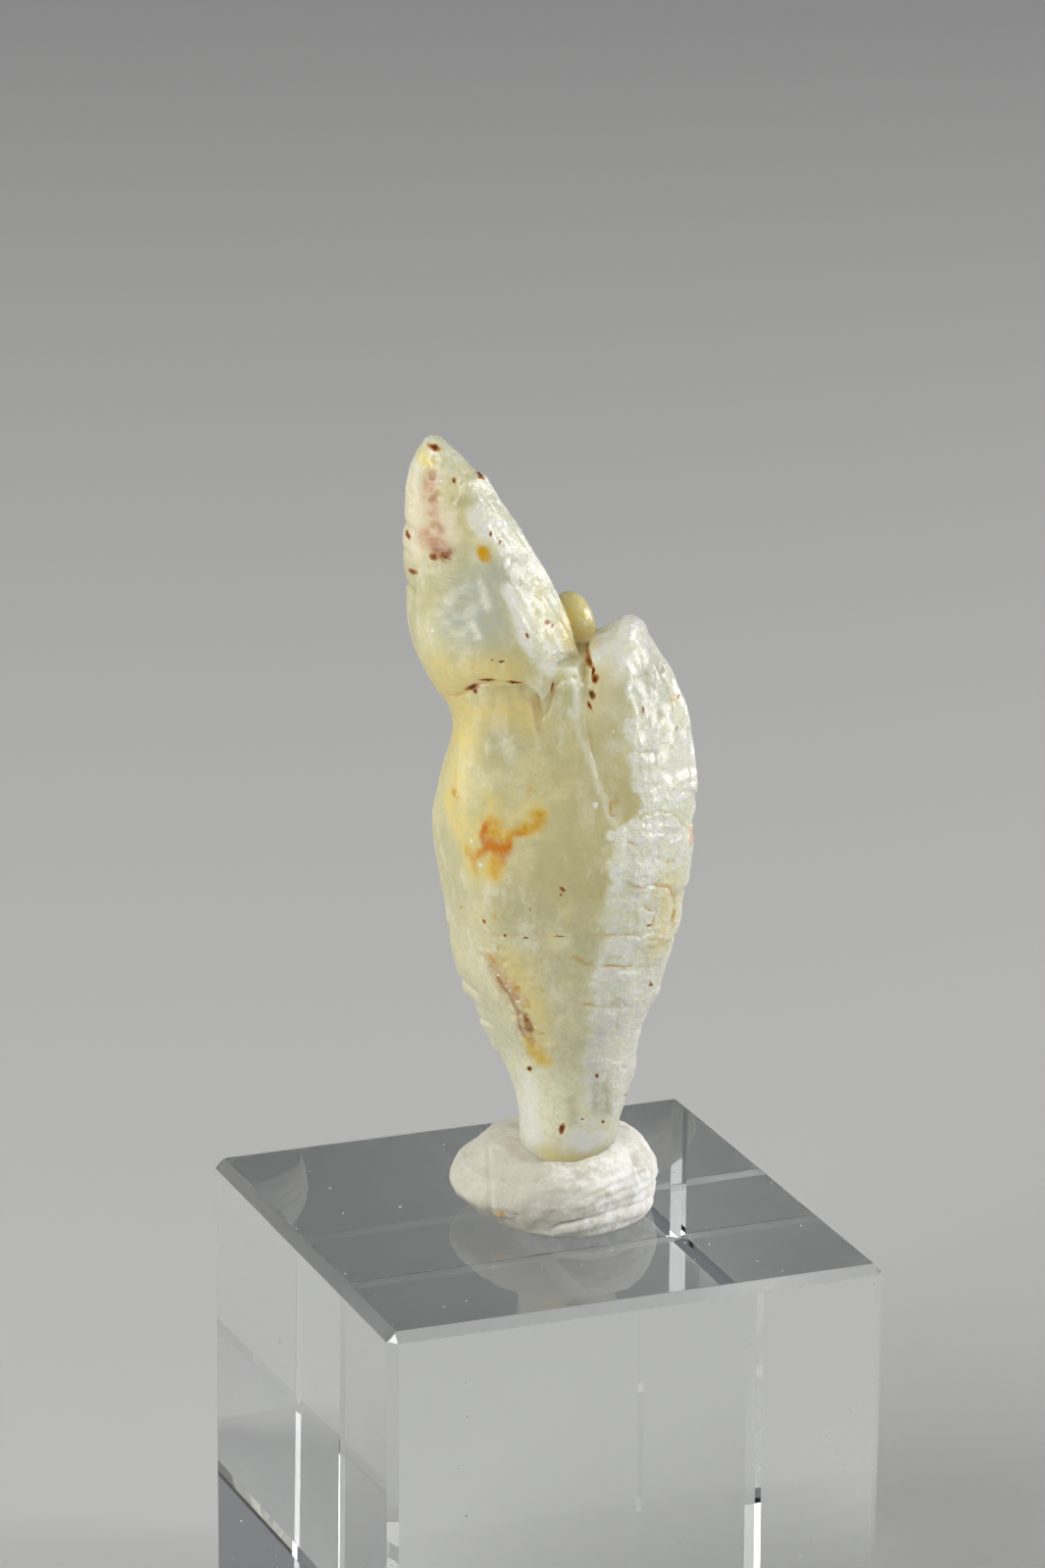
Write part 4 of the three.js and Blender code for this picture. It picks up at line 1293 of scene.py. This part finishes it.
    def streaks(self) -> Array:
        """Lengthwise streaks, which lean with the crystal that they lie on.

        Returns:
            The height at each vertex.
        """
        grain = Grain(Seed.STREAKS)
        cap = smooth_step(self.height + 0.8 * self.across, 22.6, 23.4) * smooth_step(self.across, 1.6, 1.2)
        shoulder = smooth_step(self.height, 16.0, 18.0) * smooth_step(self.across, 1.4, 1.8)
        foot = smooth_step(self.height, 7.5, 6.0)
        body = (1 - cap) * (1 - shoulder) * (1 - foot)
        laid = ((self.cap_lean, cap), (self.shoulder_lean, shoulder), (0.0, foot), (0.0, body))
        long, short = self.streak_sizes
        total = np.zeros(len(self.place))
        for (lean, mask), rise in zip(laid, self.streak_rises):
            cos, sin = math.cos(math.radians(lean)), math.sin(math.radians(lean))
            side, along = self.across * cos + self.height * sin, self.height * cos - self.across * sin
            turned = np.column_stack((side, self.forward, along))
            streak = grain.smooth(turned, long) + 0.5 * grain.smooth(turned, short)
            total += rise * streak * mask
        return total * (0.25 + 0.75 * self.etched)

    def pits(self) -> Array:
        """Small etch pits, thickest near the tips and on the etched faces.

        Returns:
            The height at each vertex.
        """
        grain = Grain(Seed.PITS)
        crowd = smooth_step(grain.layered(self.place, 1.6), 0.0, 0.35)
        tips = smooth_step(self.height, 27.2, 29.0)
        total = np.zeros(len(self.place))
        for spacing, depth, share in self.pit_kinds:
            away, mark = grain.dots(self.place, spacing)
            total -= depth * smooth_step(away, 0.36, 0.12) * (mark > share)
        return total * np.clip(self.etched * crowd + 0.8 * tips, 0, 1)

    def crumbs(self) -> Array:
        """Crumbly ground inside the long rusty furrow.

        Returns:
            The height at each vertex.
        """
        grain = Grain(Seed.FURROW)
        away, _ = distance_to_line(self.place, self.furrow, 1.2)
        inside = smooth_step(away, self.furrow_half, 0.35) * self.front()
        dots, mark = grain.dots(self.place, 0.3)
        holes = self.crumb_depth * smooth_step(dots, 0.4, 0.1) * (mark > 0.3)
        return inside * (self.crumb_rise * grain.smooth(self.place, 0.22) - holes)


@dataclass
class SapphireCrystal:
    """The grown-together sapphire, with its steps, streaks, pits and stains."""

    node: str = "sapphire_crystal"
    name: str = "sapphire"
    voxel: float = 0.072
    easing: int = 5
    most_triangles: int = 190_000
    foot_top: float = 7.0
    foot_middle: Place = (1.0, 0.0)
    foot_rounding: float = 0.95
    edge_passes: int = 24
    # how far a vertex stands out, or sinks in, before the painted glow on edges or the painted shade in
    # hollows begins
    edge_stand: Place = (0.015, 0.1)
    hollow_depth: Place = (0.02, 0.12)
    milky_etching: float = 0.8
    outline_size: float = 0.75
    outline_drift: float = 0.22
    rounding_passes: int = 160
    rounding_reach: float = 1.5
    soft_edges: tuple[Line, ...] = (
        ((-2.7, 21.3), (-3.1, 20.0), (-3.2, 18.0), (-3.0, 16.2), (-2.8, 14.3), (-2.3, 12.4), (-1.7, 10.4),
         (-1.1, 8.5), (-0.7, 6.6), (-0.5, 4.7)),
        ((1.2, 20.8), (1.5, 19.5), (2.0, 18.4), (2.6, 16.4), (2.75, 14.6), (2.4, 12.6), (2.2, 10.6),
         (2.0, 8.2), (1.6, 6.2), (1.3, 4.3)),
        ((2.85, 22.4), (3.0, 20.4), (3.4, 18.6), (3.7, 17.2)),
        ((-4.2, 30.0), (-4.6, 27.5), (-4.6, 24.5), (-4.0, 22.0)),
        ((-2.6, 27.9), (-2.4, 27.5), (-1.5, 25.5), (-0.8, 23.4)),
    )
    finish: SapphireFinish = field(default_factory=SapphireFinish)

    def build(self, frame: dict) -> Piece:
        """Makes the crystal and fixes it to the frame.

        Args:
            frame: The loaded frame.

        Returns:
            The finished piece.
        """
        piece = copy_in_millimetres(frame["nodes"][self.node], self.name)
        refine(piece, self.voxel, self.easing)
        self.round_foot(piece)
        self.round_edges(piece)
        self.sculpt(piece)
        thin(piece, self.most_triangles)
        bring_to_metres(piece)
        piece.data.materials.append(self.finish.material())
        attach(piece, BODY)
        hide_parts(self.node)
        LOG.info("%s: %d faces", self.name, len(piece.data.polygons))
        return piece

    def round_foot(self, piece: Piece) -> None:
        """Eases the foot's facets towards one smooth oval.

        Args:
            piece: The refined piece, in millimetres.
        """
        place, _ = vertices_of(piece)
        low = place[:, 2] < self.foot_top
        height = place[low, 2]
        out = place[low, :2] - np.array(self.foot_middle)
        reach = np.hypot(out[:, 0], out[:, 1])
        turn = np.arctan2(out[:, 1], out[:, 0])
        waves = [np.ones_like(turn)] + [wave(count * turn) for count in (1, 2) for wave in (np.cos, np.sin)]
        basis = np.column_stack([wave * height**power for wave in waves for power in range(4)])
        wall = height > height.min() + 0.1
        fit = basis @ np.linalg.lstsq(basis[wall], reach[wall], rcond=None)[0]
        share = self.foot_rounding * smooth_step(height, self.foot_top, self.foot_top - 3) * wall
        place[low, :2] += out * (share * (fit / reach - 1))[:, None]
        set_vertices(piece, place)

    def round_edges(self, piece: Piece) -> None:
        """Softens the long edges between the broad faces.

        Args:
            piece: The refined piece, in millimetres.
        """
        skin = Skin(*vertices_of(piece))
        eased = eased_places(piece, self.rounding_passes)
        share = np.zeros(len(skin.place))
        for edge in self.soft_edges:
            away, _ = distance_to_line(skin.place, edge, self.rounding_reach)
            share = np.maximum(share, smooth_step(away, self.rounding_reach, 0.5 * self.rounding_reach))
        share *= skin.front() * smooth_step(skin.height, 2.0, 4.0)
        set_vertices(piece, skin.place + (eased - skin.place) * share[:, None])

    def sculpt(self, piece: Piece) -> None:
        """Moves the vertices for the natural relief, and stores the masks that the material reads.

        Args:
            piece: The refined piece, in millimetres.
        """
        skin = SapphireSkin(*vertices_of(piece))
        plate_relief, plate = skin.plates()
        seam_relief, rust = skin.seams()
        relief = skin.uneven_ground() + (plate_relief + seam_relief)
        for part in (skin.raised_terraces(), skin.streaks(), skin.pits(), skin.crumbs()):
            relief += part
        raise_skin(piece, skin, relief)
        eased = eased_places(piece, self.edge_passes)
        raised = Skin(*vertices_of(piece))
        stand = np.einsum("ij,ij->i", raised.place - eased, raised.normal)
        masks = {
            "plate": plate,
            "rust_line": rust,
            "front": raised.front(),
            # the next two masks place painted light: a painted glow on standing edges and painted shade in
            # hollows
            "edge": smooth_step(stand, *self.edge_stand),
            "hollow_shade": smooth_step(-stand, *self.hollow_depth),
            **self.strokes(raised),
        }
        masks["etched"] = np.maximum(skin.etched, self.milky_etching * masks["milk"])
        for name, values in masks.items():
            store_attribute(piece, name, values)

    def strokes(self, skin: Skin) -> dict[str, Array]:
        """Paints the strokes with wandering outlines, and freer clouds on the back.

        Args:
            skin: The raised skin.

        Returns:
            A mask for each tint, under its name.
        """
        grain = Grain(Seed.STROKES)
        drift = grain.drift(skin.place, self.outline_size, (0.0, 9.0, 17.0))
        moved = skin.place + self.outline_drift * drift
        front = skin.front()
        masks = {tint.name.lower(): np.zeros(len(skin.place)) for tint in Tint}
        for stroke in STROKES:
            away, _ = distance_to_line(moved, stroke.points, 2 * stroke.half)
            shape = smooth_step(away / stroke.half, 1 + stroke.soft, 1 - stroke.soft) * stroke.strength
            name = stroke.tint.name.lower()
            masks[name] = np.maximum(masks[name], shape if stroke.through else shape * front)
        for cloud in CLOUDS:
            shape = grain.layered(skin.place + drift + cloud.shift, cloud.size)
            shape = cloud.strength * smooth_step(shape, cloud.low, cloud.low + cloud.soft) * (1 - front)
            name = cloud.tint.name.lower()
            masks[name] = np.maximum(masks[name], shape)
        return masks


# ---------------------------------------------------------------- the putty


@dataclass
class PuttySkin(Skin):
    """The relief that fingers left on the putty, at every vertex; sizes are in millimetres."""

    foot_fade: Place = (0.08, 0.35)
    ridge_spacing: float = 0.37
    ridge_rise: float = 0.024
    crease: Line = ((0.1, 0.33), (0.8, 0.7), (1.5, 0.85), (2.9, 0.97), (4.15, 0.74), (4.6, 0.7))
    dent: Line = ((-2.13, 2.75), (-2.08, 2.2), (-2.0, 1.55), (-1.88, 0.85), (-1.7, 0.4))
    curl: Line = ((3.44, 2.63), (3.63, 2.3), (3.82, 1.74))

    def relief(self) -> Array:
        """Adds everything up, and leaves the foot flat on the block.

        Returns:
            The height at each vertex.
        """
        total = self.lumps()
        for part in (self.pits(), self.left_hand_point(), self.ridges(), self.fold()):
            total += part
        return total * smooth_step(self.height, *self.foot_fade)

    def lumps(self) -> Array:
        """Soft lumps of four sizes.

        Returns:
            The height at each vertex.
        """
        grain = Grain(Seed.PUTTY)
        large = 0.07 * grain.layered(self.place, 1.2) + 0.045 * grain.smooth(self.place, 0.6)
        return large + (0.02 * grain.smooth(self.place, 0.35) + 0.012 * grain.smooth(self.place, 0.2))

    def pits(self) -> Array:
        """Small dents and grains all over."""
        away, mark = Grain(Seed.PUTTY_PITS).dots(self.place, 0.42)
        return smooth_step(away, 0.4, 0.1) * np.where(mark > 0.8, -0.05, np.where(mark < 0.15, 0.03, 0))

    def left_hand_point(self) -> Array:
        """Draws the left-hand end out to a low blunt point, under a sloping flat and beside a dent.

        Returns:
            The height at each vertex.
        """
        end = smooth_step(-self.across, 1.0, 2.4)
        point = 0.16 * bell(self.height - 1.1, 0.5) - 0.14 * bell(self.height - 2.2, 0.5)
        away, _ = distance_to_line(self.place, self.dent, 1.0)
        dent = 0.07 * bell(away, 0.12) - 0.03 * bell(away, 0.4)
        return end * point - smooth_step(self.forward, 0.0, 0.5) * dent

    def above_crease(self) -> Array:
        """How high each vertex lies above the crease."""
        return self.height - height_along(self.crease, self.across)

    def ridges(self) -> Array:
        """The print of finger ridges on the right-hand front, with the small curl beside it.

        Returns:
            The height at each vertex.
        """
        start = self.across - 1.5
        wander = 0.04 * Grain(Seed.FINGER_PRINT).smooth(self.place, 0.9)
        turn = 2 * math.pi * (self.height - 0.35 * start + 0.09 * start**2 + wander) / self.ridge_spacing
        wave = np.cos(turn) - 0.35 * np.cos(2 * turn)
        zone = smooth_step(self.across, 0.9, 1.7) * smooth_step(self.forward, -0.6, 0.4)
        zone *= smooth_step(self.height, 2.9, 2.6)
        zone *= smooth_step(self.above_crease(), 0.15, 0.4)
        away, _ = distance_to_line(self.place, self.curl, 0.6)
        curl = -0.09 * bell(away, 0.09) + 0.05 * bell(away - 0.2, 0.1)
        return self.ridge_rise * wave * zone + curl * smooth_step(self.forward, 0.2, 0.6)

    def fold(self) -> Array:
        """The crease low on the right, with the smooth roll under it.

        Returns:
            The height at each vertex.
        """
        above = self.above_crease()
        zone = smooth_step(self.across, 0.2, 0.9) * smooth_step(self.forward, -0.2, 0.5)
        return (-0.15 * bell(above, 0.07) + 0.1 * bell(above + 0.32, 0.22)) * zone


@dataclass
class MineralPutty:
    """The lump of putty pressed round the crystal's foot by fingers."""

    node: str = "mineral_putty"
    name: str = "putty"
    voxel: float = 0.07
    easing: int = 3
    socket_reach: float = 0.62
    socket_full: float = 0.42
    sunk: float = 0.08
    lift: float = 0.01
    finish: PuttyFinish = field(default_factory=PuttyFinish)

    def build(self, frame: dict, crystal: Piece) -> Piece:
        """Makes the putty and fixes it to the frame.

        Args:
            frame: The loaded frame.
            crystal: The finished crystal, which the putty is pressed against.

        Returns:
            The finished piece.
        """
        piece = copy_in_millimetres(frame["nodes"][self.node], self.name)
        refine(piece, self.voxel, self.easing)
        self.press_on(piece, crystal)
        skin = PuttySkin(*vertices_of(piece))
        raise_skin(piece, skin, skin.relief())
        bring_to_metres(piece)
        piece.data.materials.append(self.finish.material())
        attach(piece, BODY)
        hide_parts(self.node)
        LOG.info("%s: %d faces", self.name, len(piece.data.polygons))
        return piece

    def press_on(self, piece: Piece, crystal: Piece) -> None:
        """Draws the socket's walls in until they lie just inside the crystal's skin.

        Args:
            piece: The putty, in millimetres.
            crystal: The crystal, in metres.
        """
        tree = BVHTree.FromObject(crystal, bpy.context.evaluated_depsgraph_get())
        row = SPECIMEN.to_row(vertices_of(piece)[0])
        for index, point in enumerate(row):
            found, outward, _, away = tree.find_nearest(Vector(point * MM), self.socket_reach * MM)
            if found is None:
                continue
            pull = float(smooth_step(np.array(away / MM), self.socket_reach, self.socket_full))
            goal = np.array(found) / MM - np.array(outward) * self.sunk
            row[index] = point + (goal - point) * pull
        row[:, 2] = np.maximum(row[:, 2], SPECIMEN.block_height + self.lift)
        set_vertices(piece, SPECIMEN.from_row(row))


# ---------------------------------------------------------------- the block and the studio


@dataclass
class GlassBlock:
    """The clear display block, whose CAD solid is shown as it is."""

    node: str = "glass_block"
    finish: GlassFinish = field(default_factory=GlassFinish)

    def dress(self, frame: dict) -> None:
        """Gives the block its glass.

        Args:
            frame: The loaded frame.
        """
        block = frame["nodes"][self.node]
        block.data.materials.clear()
        block.data.materials.append(self.finish.material())
        LOG.info("%s: dressed", self.node)


@dataclass(frozen=True)
class SoftLight:
    """A square light: its direction along the camera's right, up and forward, and lengths in metres."""

    name: str
    toward: Point
    away: float
    side: float
    watts: float
    colour: Point

    def add(self, axes: tuple[Vector, Vector, Vector], target: Point) -> None:
        """Adds the light, which faces the target.

        Args:
            axes: The camera's right, up and forward directions.
            target: The place that the light shines on, in metres.
        """
        direction = sum((axis * share for axis, share in zip(axes, self.toward)), Vector()).normalized()
        data = bpy.data.lights.new(self.name, "AREA")
        data.size = self.side
        data.energy = self.watts
        data.color = self.colour
        light = bpy.data.objects.new(self.name, data)
        bpy.context.scene.collection.objects.link(light)
        light.location = Vector(target) + direction * self.away
        light.rotation_euler = (-direction).to_track_quat("-Z", "Y").to_euler()


@dataclass
class Studio:
    """The pale floor, the soft lights and the camera.

    The camera's eye and target, its lens and sensor, and the floor's drop are in millimetres. The
    other lengths are in metres, and the roll is in degrees.
    """

    eye: Point = (-87.54, -217.47, 110.54)
    target: Point = (1.007, 4.880, 35.686)
    roll: float = 0.397
    lens: float = 149.08
    sensor: float = 36.0
    clip: Place = (0.01, 50.0)
    floor_reach: float = 3.0
    floor_drop: float = 0.03
    lit_place: Point = (0, 0, 0.036)
    lights: tuple[SoftLight, ...] = (
        SoftLight("key", (1.0, 0.22, 0.12), 0.42, 0.26, 1.6, (1.0, 0.99, 0.98)),
        SoftLight("glint", (1.0, 0.6, -0.25), 0.5, 0.05, 0.35, (1.0, 1.0, 1.0)),
        SoftLight("side", (-1.0, 0.25, 0.15), 0.42, 0.26, 0.55, (1.0, 0.98, 0.92)),
        SoftLight("fill", (-0.75, 0.45, -1.0), 0.55, 0.4, 3.1, (1.0, 0.99, 0.98)),
    )
    world: Colour = (0.55, 0.57, 0.6, 1.0)
    world_strength: float = 0.3
    clamp: float = 3.0
    glossy_blur: float = 1.0
    floor_finish: FloorFinish = field(default_factory=FloorFinish)

    def axes(self) -> tuple[Vector, Vector, Vector]:
        """Works out how the camera is turned.

        Returns:
            The camera's right, up and forward directions.
        """
        forward = (Vector(self.target) - Vector(self.eye)).normalized()
        level_right = forward.cross(Vector((0, 0, 1))).normalized()
        level_up = level_right.cross(forward)
        roll = math.radians(self.roll)
        right = level_right * math.cos(roll) + level_up * math.sin(roll)
        return right, level_up * math.cos(roll) - level_right * math.sin(roll), forward

    def build(self) -> None:
        """Makes everything that isn't part of the object."""
        self.lay_floor()
        self.set_camera()
        for light in self.lights:
            light.add(self.axes(), self.lit_place)
        self.light_world()

    def lay_floor(self) -> None:
        """Lays the floor just under the block."""
        place = (0, 0, -self.floor_drop * MM)
        bpy.ops.mesh.primitive_circle_add(
            vertices=64, radius=self.floor_reach, fill_type="NGON", location=place)
        floor = bpy.context.object
        floor.name = "floor"
        floor.data.materials.append(self.floor_finish.material())

    def set_camera(self) -> None:
        """Places the camera."""
        right, up, forward = self.axes()
        data = bpy.data.cameras.new("camera")
        data.sensor_width = self.sensor
        data.lens = self.lens
        data.clip_start, data.clip_end = self.clip
        camera = bpy.data.objects.new("camera", data)
        bpy.context.scene.collection.objects.link(camera)
        rows = [[right[axis], up[axis], -forward[axis], self.eye[axis] * MM] for axis in range(3)]
        camera.matrix_world = Matrix([*rows, [0, 0, 0, 1]])
        bpy.context.scene.camera = camera

    def light_world(self) -> None:
        """Sets a dim even sky and how the picture is made."""
        world = bpy.data.worlds.new("world")
        world.use_nodes = True
        background = world.node_tree.nodes["Background"]
        background.inputs["Color"].default_value = self.world
        background.inputs["Strength"].default_value = self.world_strength
        scene = bpy.context.scene
        scene.world = world
        scene.view_settings.view_transform = "Standard"
        scene.cycles.sample_clamp_indirect = self.clamp
        scene.cycles.blur_glossy = self.glossy_blur


def main() -> None:
    """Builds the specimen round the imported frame."""
    logging.basicConfig(level=logging.INFO, format="%(name)s: %(message)s")
    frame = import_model()
    bpy.ops.object.select_all(action="DESELECT")
    Studio().build()
    crystal = SapphireCrystal().build(frame)
    MineralPutty().build(frame, crystal)
    GlassBlock().dress(frame)
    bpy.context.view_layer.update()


if __name__ == "__main__":
    main()
